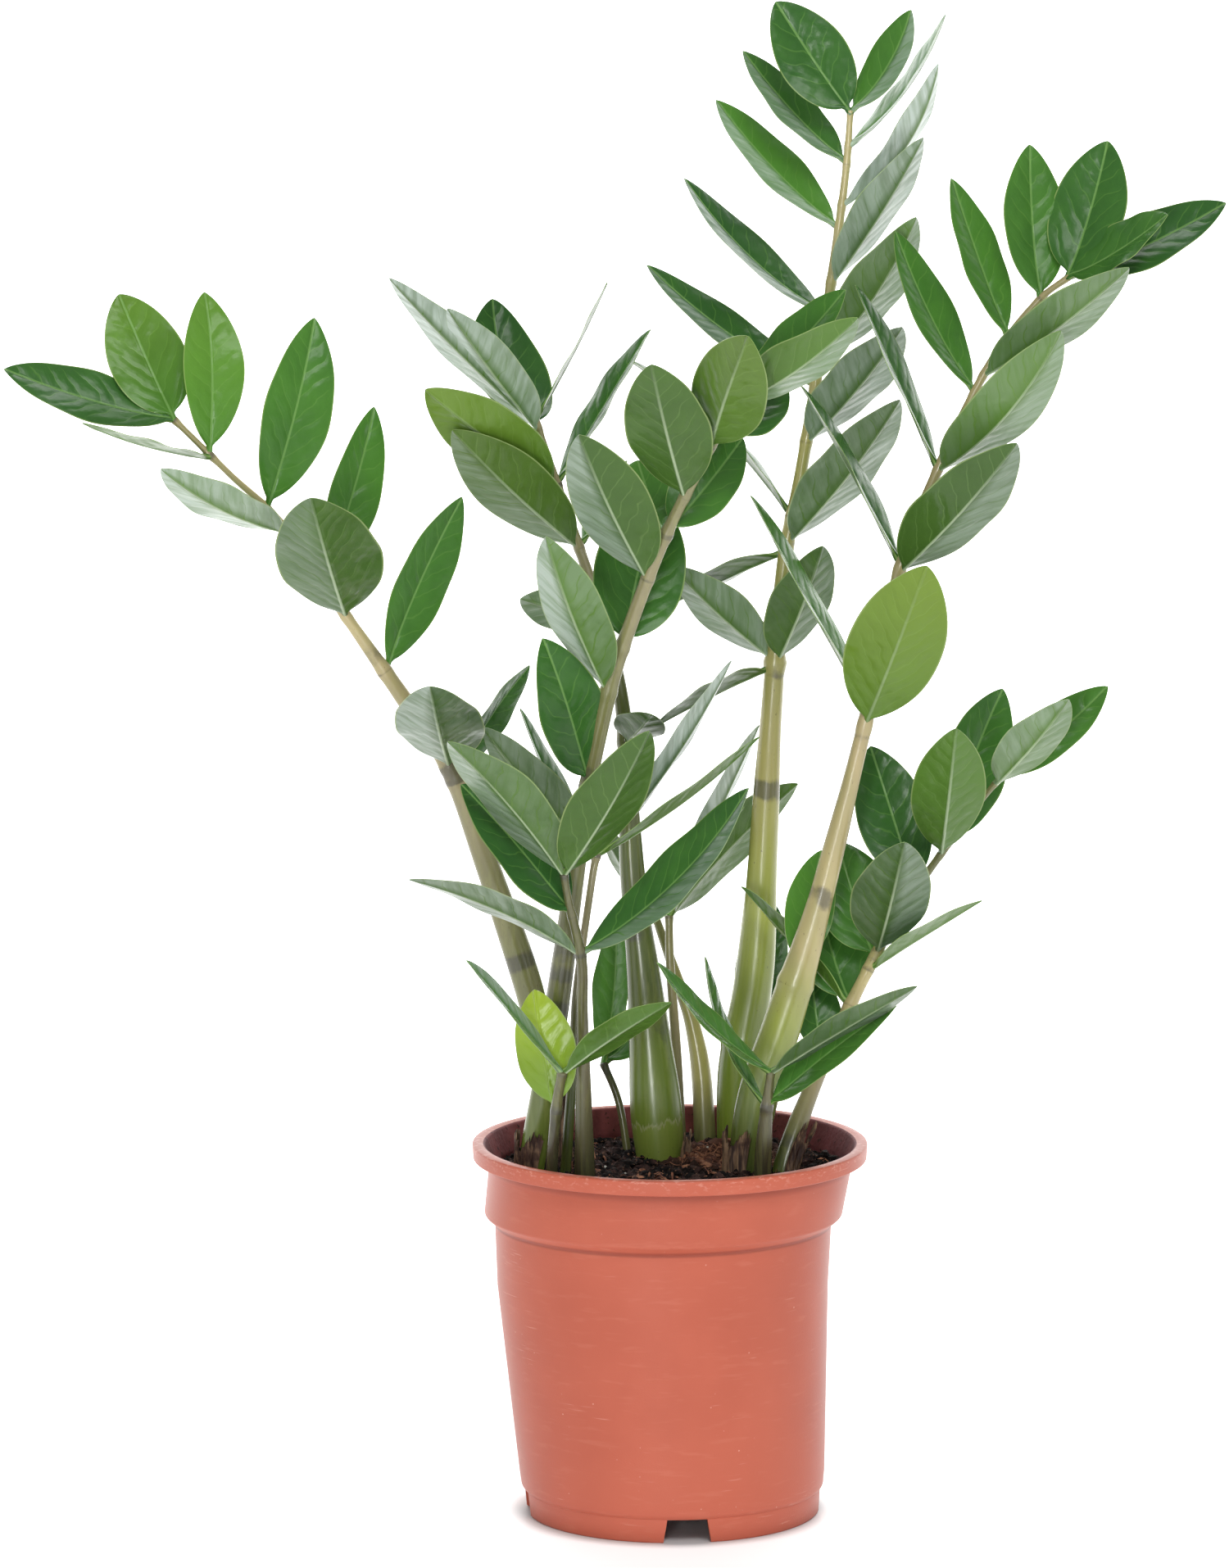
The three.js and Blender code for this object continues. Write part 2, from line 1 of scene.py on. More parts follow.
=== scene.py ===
import bpy
import math
import numpy as np
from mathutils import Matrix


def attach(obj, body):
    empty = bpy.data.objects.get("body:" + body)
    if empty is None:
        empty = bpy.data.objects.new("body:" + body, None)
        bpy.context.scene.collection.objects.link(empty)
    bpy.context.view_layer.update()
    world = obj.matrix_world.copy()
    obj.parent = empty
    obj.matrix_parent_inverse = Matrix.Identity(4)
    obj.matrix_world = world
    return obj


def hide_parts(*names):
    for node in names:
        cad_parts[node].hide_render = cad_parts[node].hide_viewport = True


# A zz plant in a plain terracotta-coloured plastic nursery pot: thirteen fronds and sprouts
# standing in dark potting soil, with dry papery sheaths at some stalk bases.
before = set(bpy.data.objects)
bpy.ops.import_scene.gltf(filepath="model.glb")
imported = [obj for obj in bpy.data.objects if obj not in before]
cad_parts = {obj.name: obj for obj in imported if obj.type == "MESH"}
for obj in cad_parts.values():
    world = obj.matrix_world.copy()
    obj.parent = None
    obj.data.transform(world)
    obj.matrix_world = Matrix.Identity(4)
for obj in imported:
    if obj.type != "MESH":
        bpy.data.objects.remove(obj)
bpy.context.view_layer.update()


# ---- Camera -----------------------------------------------------------------------------
# The plant is seen from in front and a little above. "Across" and "up" are measured, in mm,
# on a sheet square to that line of sight through the pot's axis; "depth" is how far a point
# truly lies behind the axis.

POT_AXIS = np.array([23.5, 19.5, 0.0])
EYE = np.array([-23.8, -3800.0, 929.0])
SHEET_CENTRE = np.array([-23.8, 0.0, 317.5])
SHEET_CENTRE_UP = 324.8
SHEET_HEIGHT = 669.9
SIGHT_DOWN = math.atan2(EYE[2] - SHEET_CENTRE[2], -EYE[1])
SENSOR_WIDTH = 36.0
MM = 0.001


def placed(across, up, depth):
    """Across, up and depth as arrays to true places: the ray from the eye through the point on
    the sheet, followed until it is depth behind the pot's axis."""
    across, up, depth = np.broadcast_arrays(across, up, depth)
    rise = up - SHEET_CENTRE_UP
    sheet = np.stack([
        across.astype(float),
        rise * math.sin(SIGHT_DOWN),
        SHEET_CENTRE[2] + rise * math.cos(SIGHT_DOWN),
    ], axis=-1)
    stretch = (depth - EYE[1]) / (sheet[..., 1] - EYE[1])
    return EYE + (sheet - EYE) * stretch[..., None]


camera_data = bpy.data.cameras.new("camera")
camera = bpy.data.objects.new("camera", camera_data)
bpy.context.scene.collection.objects.link(camera)
camera_data.sensor_width = SENSOR_WIDTH
camera_data.lens = SENSOR_WIDTH * np.linalg.norm(EYE - SHEET_CENTRE) / SHEET_HEIGHT
camera_data.clip_end = 100.0
camera.location = (EYE + POT_AXIS) * MM
camera.rotation_euler = (math.pi / 2 - SIGHT_DOWN, 0, 0)
bpy.context.scene.camera = camera


# ---- Pot --------------------------------------------------------------------------------
# A thin moulded plastic nursery pot: rolled lip, collar, tapering body and a foot ring broken
# by four drainage notches. It is soft, so its body is a little out of round.

POT_HEIGHT = 162.0
RIM_RADIUS = 85.0
LIP_HEIGHT = 7.0
COLLAR_RADIUS = 78.0
COLLAR_BOTTOM = 131.0
BODY_TOP_RADIUS = 70.8
BODY_BOTTOM_RADIUS = 65.2
BODY_BOTTOM = 18.0
FOOT_RADIUS = 62.6
FOOT_HEIGHT = 10.0
WALL = 1.9
FLOOR_THICKNESS = 3.0
NOTCH_COUNT = 4
NOTCH_TOP_WIDTH = 17.0
NOTCH_BOTTOM_WIDTH = 20.5
NOTCH_TURN = 5.5


def shader_graph(name):
    """A new empty material and its add(kind, inputs, **settings), which makes a node, sets its
    settings, and gives each input a value or a link from another node's socket."""
    material = bpy.data.materials.new(name)
    material.use_nodes = True
    tree = material.node_tree
    tree.nodes.clear()

    def add(kind, inputs=None, **settings):
        made = tree.nodes.new(kind)
        for key, value in settings.items():
            setattr(made, key, value)
        for key, value in (inputs or {}).items():
            if isinstance(value, bpy.types.NodeSocket):
                tree.links.new(value, made.inputs[key])
            else:
                made.inputs[key].default_value = value
        return made.outputs[0] if made.outputs else None

    return material, add


def object_noise(add, scale, detail=4.0, stretch=(1.0, 1.0, 1.0), roughness=0.55):
    """Noise on Object coordinates, in the given number of features per metre."""
    place = add("ShaderNodeTexCoord").node.outputs["Object"]
    stretched = add("ShaderNodeMapping", {"Vector": place, "Scale": stretch})
    return add("ShaderNodeTexNoise", {
        "Vector": stretched, "Scale": scale, "Detail": detail, "Roughness": roughness,
    })


def maths(add, operation, first, second=0.0, clamp=False):
    """One arithmetic node."""
    return add("ShaderNodeMath", {0: first, 1: second}, operation=operation, use_clamp=clamp)


def times(add, first, second):
    """One value times another."""
    return maths(add, "MULTIPLY", first, second)


def plus(add, first, second):
    """One value plus another."""
    return maths(add, "ADD", first, second)


def between(add, value, low, high):
    """0 below low, 1 above high, and smooth between them."""
    return add("ShaderNodeMapRange", {"Value": value, "From Min": low, "From Max": high},
               interpolation_type="SMOOTHSTEP")


def mixed(add, share, first, second):
    """Two colours mixed by a share."""
    node = add("ShaderNodeMix", data_type="RGBA").node
    tree = node.id_data
    sockets = {"Factor": node.inputs[0], "A": node.inputs[6], "B": node.inputs[7]}
    for key, value in {"Factor": share, "A": first, "B": second}.items():
        if isinstance(value, bpy.types.NodeSocket):
            tree.links.new(value, sockets[key])
        elif key == "Factor":
            sockets[key].default_value = value
        else:
            sockets[key].default_value = (*value, 1.0)
    return node.outputs[2]


def laid_over(add, tint, colour, share, strength=1.0):
    """The tint with a colour laid over it where the share is 1, as thickly as the strength."""
    return mixed(add, share if strength == 1.0 else times(add, share, strength), tint, colour)


def finish_surface(add, colour, roughness, bump=None, bump_depth=0.0004, **constants):
    """The shader of one surface: a colour, a roughness, an optional bump height in metres, and
    any other of the shader's own values."""
    inputs = {"Base Color": colour, "Roughness": roughness}
    inputs.update({key.replace("_", " "): value for key, value in constants.items()})
    if bump is not None:
        inputs["Normal"] = add("ShaderNodeBump", {
            "Height": bump, "Distance": bump_depth, "Strength": 1.0,
        })
    surface = add("ShaderNodeBsdfPrincipled", inputs)
    add("ShaderNodeOutputMaterial", {"Surface": surface})


def make_piece(name, points, faces, materials, replaced, sharp=40.0):
    """Points in mm about the pot's axis and faces become a smooth-shaded piece in the frame."""
    mesh = bpy.data.meshes.new(name)
    mesh.from_pydata(((points + POT_AXIS) * MM).tolist(), [], faces)
    mesh.polygons.foreach_set("use_smooth", np.ones(len(faces), dtype=bool))
    mesh.set_sharp_from_angle(angle=math.radians(sharp))
    for material in materials:
        mesh.materials.append(material)
    piece = bpy.data.objects.new(name, mesh)
    bpy.context.scene.collection.objects.link(piece)
    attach(piece, "root")
    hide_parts(*replaced)
    return piece


def tube_faces(rows, sides):
    """Four-cornered faces of a tube: rings of points, stored one ring after another."""
    row, column = np.meshgrid(np.arange(rows - 1), np.arange(sides), indexing="ij")
    following = (column + 1) % sides
    corners = [row * sides + column, row * sides + following,
               (row + 1) * sides + following, (row + 1) * sides + column]
    return np.stack(corners, axis=-1).reshape(-1, 4).tolist()


def pointed_tube_faces(rows, sides):
    """A tube closed at each end by a fan to one point; the two points follow the rings."""
    low, high, last = rows * sides, rows * sides + 1, (rows - 1) * sides
    faces = tube_faces(rows, sides)
    faces += [[low, (j + 1) % sides, j] for j in range(sides)]
    faces += [[high, last + j, last + (j + 1) % sides] for j in range(sides)]
    return faces


def capped_tube_faces(rows, sides):
    """A tube closed at each end by one flat face."""
    last = (rows - 1) * sides
    ends = [list(range(sides))[::-1], [last + j for j in range(sides)]]
    return tube_faces(rows, sides) + ends


def rounded_profile(corners, radius, steps):
    """A profile through [radius, height] corners, each turned by a small curve: the corner is
    the middle control point of a quadratic curve that starts and ends `radius` away."""
    corners = np.array(corners, dtype=float)
    out = [corners[0]]
    for before, corner, after in zip(corners[:-2], corners[1:-1], corners[2:]):
        back, ahead = before - corner, after - corner
        reach_back = min(radius, 0.45 * np.linalg.norm(back)) / np.linalg.norm(back)
        reach_ahead = min(radius, 0.45 * np.linalg.norm(ahead)) / np.linalg.norm(ahead)
        share = np.linspace(0, 1, steps)[:, None]
        start, end = corner + back * reach_back, corner + ahead * reach_ahead
        out.extend((1 - share) ** 2 * start + 2 * share * (1 - share) * corner + share ** 2 * end)
    out.append(corners[-1])
    return np.array(out)


# Heights as shares of the pot's height, growths as shares of the radius, shifts in mm.
STIFF_FROM, STIFF_OVER = 0.93, 0.1
GROWTH, COLLAR_GROWTH, COLLAR_PLACE, COLLAR_REACH = 0.01, 0.012, 0.76, 0.07
SHIFT, LEAN, LEAN_WAVE = 1.3, 4.4, 1.35
LOBE_GROWTH, LOBE_TURN = 0.004, 0.6


def out_of_round(points):
    """Below the stiff lip each height's ring shifts sideways by SHIFT - LEAN sin^2 of its height,
    grows by a hundredth and a little more just under the collar, and bulges by a slow two-lobed
    wave."""
    height = points[:, 2] / POT_HEIGHT
    soft = np.clip((STIFF_FROM - height) / STIFF_OVER, 0, 1)
    points = points.copy()
    under_collar = np.exp(-((height - COLLAR_PLACE) / COLLAR_REACH) ** 2)
    points[:, :2] *= (1 + soft * (GROWTH + COLLAR_GROWTH * under_collar))[:, None]
    points[:, 0] += soft * (SHIFT - LEAN * np.sin(height * np.pi / LEAN_WAVE) ** 2)
    bearing = np.arctan2(points[:, 1], points[:, 0])
    lobes = 1 + LOBE_GROWTH * soft * np.sin(2 * bearing + LOBE_TURN) * np.sin(np.pi * height)
    points[:, :2] *= lobes[:, None]
    return points


def turned_shell(profile, sides):
    """A profile of [radius, height] carried once round the axis; its ends lie on the axis."""
    bearing = np.linspace(0, 2 * np.pi, sides, endpoint=False)
    radius, height = profile[1:-1, 0], profile[1:-1, 1]
    ring = np.stack([
        radius[:, None] * np.cos(bearing),
        radius[:, None] * np.sin(bearing),
        np.repeat(height[:, None], sides, axis=1),
    ], axis=-1).reshape(-1, 3)
    points = np.vstack([ring, [0, 0, profile[0, 1]], [0, 0, profile[-1, 1]]])
    return points, pointed_tube_faces(len(radius), sides)


def foot_segment(number, steps=60):
    """One stretch of foot ring between two notches: its section, with worn lower edges and its
    top sunk into the pot, carried along the arc, with sloping ends because each notch is wider
    at the bottom."""
    top_half = math.asin(NOTCH_TOP_WIDTH / 2 / FOOT_RADIUS)
    bottom_half = math.asin(NOTCH_BOTTOM_WIDTH / 2 / FOOT_RADIUS)
    turn = math.radians(NOTCH_TURN - 90 + 360 / NOTCH_COUNT * number)
    span = 2 * math.pi / NOTCH_COUNT
    inner, edge, sunk = FOOT_RADIUS - WALL, 0.6, 1.5
    section = np.array([
        [inner, edge], [inner + edge, 0], [FOOT_RADIUS - edge, 0], [FOOT_RADIUS, edge],
        [FOOT_RADIUS + edge, FOOT_HEIGHT], [FOOT_RADIUS + edge, FOOT_HEIGHT + sunk],
        [inner, FOOT_HEIGHT + sunk],
    ])
    radius, height = section[:, 0], section[:, 1]
    half = bottom_half + (top_half - bottom_half) * np.clip(height / FOOT_HEIGHT, 0, 1)
    share = np.linspace(0, 1, steps)[:, None]
    bearing = turn + half + (span - 2 * half) * share
    points = np.stack([
        radius * np.cos(bearing),
        radius * np.sin(bearing),
        np.broadcast_to(height, bearing.shape),
    ], axis=-1).reshape(-1, 3)
    return points, capped_tube_faces(steps, len(section))


def joined(parts):
    """Several (points, faces) as one."""
    points, faces, start = [], [], 0
    for part_points, part_faces in parts:
        points.append(part_points)
        faces += [[corner + start for corner in face] for face in part_faces]
        start += len(part_points)
    return np.vstack(points), faces


LIP_BOTTOM = POT_HEIGHT - LIP_HEIGHT


def terracotta_plastic():
    """Orange-brown moulded plastic with a soft gloss, faint flow marks, fine scratches, pale
    dust specks, a scuffed lip, and painted shade in the corners under the lip and the collar."""
    material, add = shader_graph("terracotta plastic")
    broad = object_noise(add, 14.0, 3.0)
    flow = object_noise(add, 60.0, 2.0, (1.0, 1.0, 6.0))
    tint = mixed(add, between(add, broad, 0.3, 0.7), (0.455, 0.103, 0.060), (0.51, 0.121, 0.071))
    tint = laid_over(add, tint, (0.66, 0.24, 0.16), between(add, flow, 0.55, 0.75), 0.12)
    place = add("ShaderNodeTexCoord").node.outputs["Object"]
    cells = add("ShaderNodeTexVoronoi", {"Vector": place, "Scale": 210.0}, feature="F1")
    patch = between(add, object_noise(add, 35.0, 2.0), 0.52, 0.64)
    specks = times(add, between(add, cells, 0.10, 0.04), patch)
    tint = laid_over(add, tint, (0.80, 0.50, 0.40), specks, 0.45)
    scratch = object_noise(add, 900.0, 2.0, (0.05, 0.05, 1.0))
    marks = times(add, between(add, scratch, 0.64, 0.74), patch)
    tint = laid_over(add, tint, (0.78, 0.42, 0.33), marks, 0.3)
    height = add("ShaderNodeSeparateXYZ", {0: place}).node.outputs["Z"]
    rubbed = between(add, object_noise(add, 380.0, 4.0, (1.0, 1.0, 2.5)), 0.54, 0.66)
    on_lip = between(add, height, (LIP_BOTTOM - 0.5) * MM, (POT_HEIGHT - 0.5) * MM)
    tint = laid_over(add, tint, (0.80, 0.45, 0.36), times(add, rubbed, on_lip), 0.28)
    # Painted shade: dark bands on the wall just under the lip and just under the collar's step.
    under_lip = times(add, between(add, height, (LIP_BOTTOM - 5.2) * MM, (LIP_BOTTOM - 1.4) * MM),
                      between(add, height, (LIP_BOTTOM + 0.3) * MM, (LIP_BOTTOM - 0.1) * MM))
    under_collar = times(
        add, between(add, height, (COLLAR_BOTTOM - 2.0) * MM, (COLLAR_BOTTOM - 3.4) * MM),
        between(add, height, (COLLAR_BOTTOM - 5.4) * MM, (COLLAR_BOTTOM - 4.2) * MM))
    painted_groove_shade = maths(add, "MAXIMUM", under_lip, under_collar)
    tint = laid_over(add, tint, (0.190, 0.034, 0.024), painted_groove_shade, 0.55)
    roughness = plus(add, times(add, broad, 0.084), 0.34)
    fine = object_noise(add, 1500.0, 2.0)
    bump = plus(add, times(add, fine, 0.4), times(add, flow, 0.6))
    finish_surface(add, tint, roughness, bump, 0.00012, Specular_IOR_Level=0.27)
    return material


def soiled_and_shaded_plastic():
    """The same plastic inside the pot, darkened partly by wet soil and dust and partly as painted
    shade.
    """
    material, add = shader_graph("soiled plastic inside with painted shade")
    smear = object_noise(add, 45.0, 5.0, (1.0, 1.0, 0.5))
    # These tints are darker than the outside partly as painted shade for the inside of the pot.
    tint = mixed(add, between(add, smear, 0.35, 0.7), (0.15, 0.040, 0.046), (0.29, 0.075, 0.080))
    grains = object_noise(add, 420.0, 3.0)
    tint = laid_over(add, tint, (0.030, 0.016, 0.012), between(add, grains, 0.62, 0.68), 0.8)
    finish_surface(add, tint, 0.6, grains, 0.0004, Specular_IOR_Level=0.15)
    return material


FLOOR_TOP = FOOT_HEIGHT + FLOOR_THICKNESS
POT_SIDES = 200
CORNER_STEPS = 5
CORNER_RADIUS = 0.8
MID_BODY = 100.0

# [radius, height] up the outside and, below, down the inside
POT_OUTSIDE = [
    [0, FOOT_HEIGHT],
    [FOOT_RADIUS - WALL, FOOT_HEIGHT],
    [FOOT_RADIUS + 0.6, FOOT_HEIGHT + 0.2],
    [BODY_BOTTOM_RADIUS - 0.6, FOOT_HEIGHT + 2.2],
    [BODY_BOTTOM_RADIUS, BODY_BOTTOM],
    [BODY_TOP_RADIUS - 0.4, MID_BODY],
    [BODY_TOP_RADIUS, COLLAR_BOTTOM - 4],
    [COLLAR_RADIUS - 2.4, COLLAR_BOTTOM],
    [COLLAR_RADIUS, LIP_BOTTOM - 4],
    [COLLAR_RADIUS + 0.4, LIP_BOTTOM],
    [RIM_RADIUS - 0.4, LIP_BOTTOM],
    [RIM_RADIUS, POT_HEIGHT - 0.4],
    [RIM_RADIUS - 2.6, POT_HEIGHT],
]
POT_INSIDE = [
    [RIM_RADIUS - 5.5, POT_HEIGHT - 0.6],
    [COLLAR_RADIUS - WALL, LIP_BOTTOM - 4],
    [COLLAR_RADIUS - 2.4 - WALL, COLLAR_BOTTOM + 1.2],
    [BODY_TOP_RADIUS - WALL, COLLAR_BOTTOM - 2.8],
    [BODY_TOP_RADIUS - 0.4 - WALL, MID_BODY],
    [BODY_BOTTOM_RADIUS - WALL, BODY_BOTTOM],
    [BODY_BOTTOM_RADIUS - WALL - 2, FLOOR_TOP],
    [0, FLOOR_TOP],
]

pot_profile = rounded_profile(POT_OUTSIDE + POT_INSIDE, CORNER_RADIUS, CORNER_STEPS)
pot_points, pot_faces = joined(
    [turned_shell(pot_profile, POT_SIDES)]
    + [foot_segment(number) for number in range(NOTCH_COUNT)]
)
pot = make_piece("pot_shell", out_of_round(pot_points), pot_faces,
                 [terracotta_plastic(), soiled_and_shaded_plastic()], ["pot"], sharp=50.0)
profile_rows = (len(POT_OUTSIDE) + len(POT_INSIDE) - 2) * CORNER_STEPS
inside = np.zeros(len(pot_faces), dtype=np.int32)
inside[(len(POT_OUTSIDE) - 1) * CORNER_STEPS * POT_SIDES:profile_rows * POT_SIDES] = 1
pot.data.polygons.foreach_set("material_index", inside)


# ---- Soil -------------------------------------------------------------------------------
# Dark peaty potting soil, crumbly and uneven, with reddish bark, fibres and a few white
# perlite grains lying on it. It fills the pot to a finger's breadth below the rim.

SOIL_LEVEL = 146.0
SOIL_BUMP = 1.6
GAP = 0.35
SOIL_TOP_RADIUS = COLLAR_RADIUS - 1.6 - WALL - GAP
SOIL_SEED = 11
# [across, back, height, reach]: a mound behind the thick stalk, and one at the right
MOUNDS = [[23, 22, 6.0, 14], [62, 4, 4.0, 12]]
LUMP_WAVES = (7.0, 4.5, 3.0, 2.0, 1.3)
LUMP_SINK = 2.2


def soil_top(x, y):
    """Height of the soil's top: the sum of two crossed waves, the mounds, and fine lumps, which
    are many cosine waves in random directions, each finer one lower."""
    waves = 0.6 * np.sin(x / 9 + 1) * np.cos(y / 11) + 0.4 * np.sin(x / 5 - y / 6)
    total = SOIL_LEVEL - LUMP_SINK + SOIL_BUMP * waves
    for across, back, height, reach in MOUNDS:
        total = total + height * np.exp(-((x - across) ** 2 + (y - back) ** 2) / reach ** 2)
    rng = np.random.default_rng(SOIL_SEED)
    for scale in LUMP_WAVES:
        for _ in range(5):
            angle, phase = rng.uniform(0, 2 * np.pi, 2)
            wave = (x * np.cos(angle) + y * np.sin(angle)) * 2 * np.pi / scale + phase
            total = total + np.abs(np.cos(wave)) * scale * 0.1
    return total


def soil_body():
    """The soil as a turned solid: rings of the bumpy top, then the pot's inside shape."""
    sides, rings = 300, 110
    bearing = np.linspace(0, 2 * np.pi, sides, endpoint=False)
    radius = np.linspace(0.4, SOIL_TOP_RADIUS, rings)[:, None]
    x, y = radius * np.cos(bearing), radius * np.sin(bearing)
    z = soil_top(x, y)
    top = np.stack([x, y, z], axis=-1)
    inset = WALL + GAP
    wall = [
        [COLLAR_RADIUS - 2.4 - inset, COLLAR_BOTTOM + 1.6],
        [BODY_TOP_RADIUS - inset, COLLAR_BOTTOM - 2.4],
        [BODY_TOP_RADIUS - 0.4 - inset, MID_BODY],
        [BODY_BOTTOM_RADIUS - inset, BODY_BOTTOM],
        [BODY_BOTTOM_RADIUS - 2.1 - inset, FLOOR_TOP + GAP],
    ]
    below = np.stack([
        np.stack([r * np.cos(bearing), r * np.sin(bearing), np.full(sides, height)], axis=-1)
        for r, height in wall
    ])
    grid = np.concatenate([top, below])[::-1]
    points = np.vstack([grid.reshape(-1, 3), [0, 0, FLOOR_TOP + GAP], [0, 0, z[0].mean()]])
    return points, pointed_tube_faces(len(grid), sides)


LUMP_SIDES = 6
LUMP_RINGS = [[0.55, -0.7], [1.0, 0.0], [0.6, 0.65]]


def lump(rng, centre, size):
    """One crumb: a six-sided double cone of three rings, knocked out of shape and turned."""
    bearing = np.linspace(0, 2 * np.pi, LUMP_SIDES, endpoint=False) + rng.uniform(0, 6)
    rings = np.concatenate([
        np.stack([r * np.cos(bearing), r * np.sin(bearing), np.full(LUMP_SIDES, h)], axis=-1)
        for r, h in LUMP_RINGS
    ])
    points = np.vstack([rings, [0, 0, -1], [0, 0, 1]])
    points = points * rng.uniform(0.75, 1.25, (len(points), 1))
    turn = rng.uniform(0, 2 * np.pi)
    spin = np.array([
        [math.cos(turn), -math.sin(turn), 0], [math.sin(turn), math.cos(turn), 0], [0, 0, 1],
    ])
    return (points * size) @ spin.T + centre, pointed_tube_faces(len(LUMP_RINGS), LUMP_SIDES)


def scattered(rng, count, sizes, flatness, reach=SOIL_TOP_RADIUS - 2.0, middle=(0.0, 0.0)):
    """Crumbs at even random places within reach of a middle, a little sunk into the soil."""
    parts = []
    for _ in range(count):
        radius, bearing = reach * math.sqrt(rng.uniform()), rng.uniform(0, 2 * math.pi)
        x, y = middle[0] + radius * math.cos(bearing), middle[1] + radius * math.sin(bearing)
        size = rng.uniform(*sizes)
        centre = np.array([x, y, soil_top(x, y) + 0.15 * size])
        shape = np.array([rng.uniform(0.7, 1.6), rng.uniform(0.6, 1.1), flatness]) * size
        parts.append(lump(rng, centre, shape))
    return joined(parts)


FIBRE_STEPS = 7


def fibre(rng, reach=SOIL_TOP_RADIUS - 8, middle=(0.0, 0.0)):
    """One bark fibre: a thin tapering strip along an arc that lies on the soil, with an end
    or its middle lifted off it."""
    radius, bearing = reach * math.sqrt(rng.uniform()), rng.uniform(0, 2 * math.pi)
    length, bend, thick = rng.uniform(5, 14), rng.uniform(-0.9, 0.9), rng.uniform(0.15, 0.5)
    share = np.linspace(0, 1, FIBRE_STEPS)
    heading = rng.uniform(0, 2 * math.pi) + bend * share
    step = length / FIBRE_STEPS
    x = middle[0] + radius * math.cos(bearing) + np.cumsum(np.cos(heading)) * step
    y = middle[1] + radius * math.sin(bearing) + np.cumsum(np.sin(heading)) * step
    z = soil_top(x, y) + 0.5 + rng.uniform(0, 2.5) * np.sin(np.pi * share)
    corner = np.linspace(0, 2 * np.pi, 4, endpoint=False)
    taper = thick * (1 - 0.7 * share)[:, None]
    broad = np.cos(corner) * taper * 1.6
    points = np.stack([
        x[:, None] - np.sin(heading)[:, None] * broad,
        y[:, None] + np.cos(heading)[:, None] * broad,
        z[:, None] + np.sin(corner) * taper,
    ], axis=-1).reshape(-1, 3)
    return points, capped_tube_faces(FIBRE_STEPS, len(corner))


RED_PATCH = (np.array([23.0, 22.0, 150.0]) + POT_AXIS) * MM


def peat():
    """Near-black brown peat with paler crumbs, reddish with bark on the mound at the back."""
    material, add = shader_graph("peat")
    coarse = object_noise(add, 160.0, 6.0)
    tint = mixed(add, between(add, coarse, 0.45, 0.64),
                 (0.005, 0.003, 0.003), (0.062, 0.032, 0.028))
    place = add("ShaderNodeTexCoord").node.outputs["Object"]
    away = add("ShaderNodeVectorMath", {0: place, 1: RED_PATCH}, operation="DISTANCE")
    heaped = between(add, away.node.outputs["Value"], 0.034, 0.014)
    tint = laid_over(add, tint, (0.19, 0.080, 0.052), heaped, 0.55)
    fine = object_noise(add, 700.0, 4.0)
    tint = laid_over(add, tint, (0.22, 0.115, 0.075), between(add, fine, 0.60, 0.70))
    finish_surface(add, tint, 0.9, fine, 0.0012, Specular_IOR_Level=0.2)
    return material


def bark():
    """Reddish brown bark chips and fibres."""
    material, add = shader_graph("bark")
    grain = object_noise(add, 300.0, 4.0, (1.0, 1.0, 0.4))
    tint = mixed(add, between(add, grain, 0.35, 0.65),
                 (0.110, 0.040, 0.026), (0.36, 0.165, 0.095))
    finish_surface(add, tint, 0.85, grain, 0.0008, Specular_IOR_Level=0.2)
    return material


def perlite():
    """Dull white puffed perlite grains, a little soiled."""
    material, add = shader_graph("perlite")
    stain = object_noise(add, 500.0, 3.0)
    tint = mixed(add, between(add, stain, 0.45, 0.7), (0.62, 0.60, 0.56), (0.30, 0.24, 0.20))
    finish_surface(add, tint, 0.9, stain, 0.0006)
    return material


def soil_piece(name, points, faces, finish, sharp=40.0):
    """One piece of the soil."""
    make_piece(name, points, faces, [finish], ["soil"], sharp)


soil_rng = np.random.default_rng(SOIL_SEED)
peat_finish, bark_finish = peat(), bark()
HEAP_MIDDLE, HEAP_REACH, HEAP_FIBRE_REACH = (23, 18), 19.0, 16.0
soil_points, soil_faces = soil_body()
soil_piece("soil_body", out_of_round(soil_points), soil_faces, peat_finish, sharp=180.0)
soil_piece("soil_crumbs", *scattered(soil_rng, 1300, (0.6, 3.0), 0.8), peat_finish)
soil_piece("bark_chips", *scattered(soil_rng, 150, (0.8, 2.6), 0.4), bark_finish)
soil_piece("bark_heap", *scattered(soil_rng, 130, (0.8, 3.0), 0.4, HEAP_REACH, HEAP_MIDDLE),
           bark_finish)
heap_fibres = [fibre(soil_rng, HEAP_FIBRE_REACH, HEAP_MIDDLE) for _ in range(110)]
loose_fibres = [fibre(soil_rng) for _ in range(110)]
soil_piece("bark_fibres", *joined(loose_fibres + heap_fibres), bark_finish)
soil_piece("perlite_grains", *scattered(soil_rng, 70, (0.5, 1.1), 0.9), perlite())


# ---- Stalks -----------------------------------------------------------------------------
# Each frond's stalk is a fleshy stem, thick and often blotched at its base and thinner and
# paler upward, with a dark ring and a slight swelling at each joint.
# route:    [across, up, depth, thickness] from the soil to the tip
# skin:     [up, colour] of the stalk, which changes evenly from each colour to the next
# bands:    [up, half height, darkness] of a dark ring or blotch
# torn_at:  up of the ragged line where an old sheath tore off round the stalk
# leaflets: [up at the stalk, tip across, tip up, tip nearer (-) or further (+), width, turn,
#            arch, fold]; a turn of 0 shows the leaflet's top side, 180 its underside

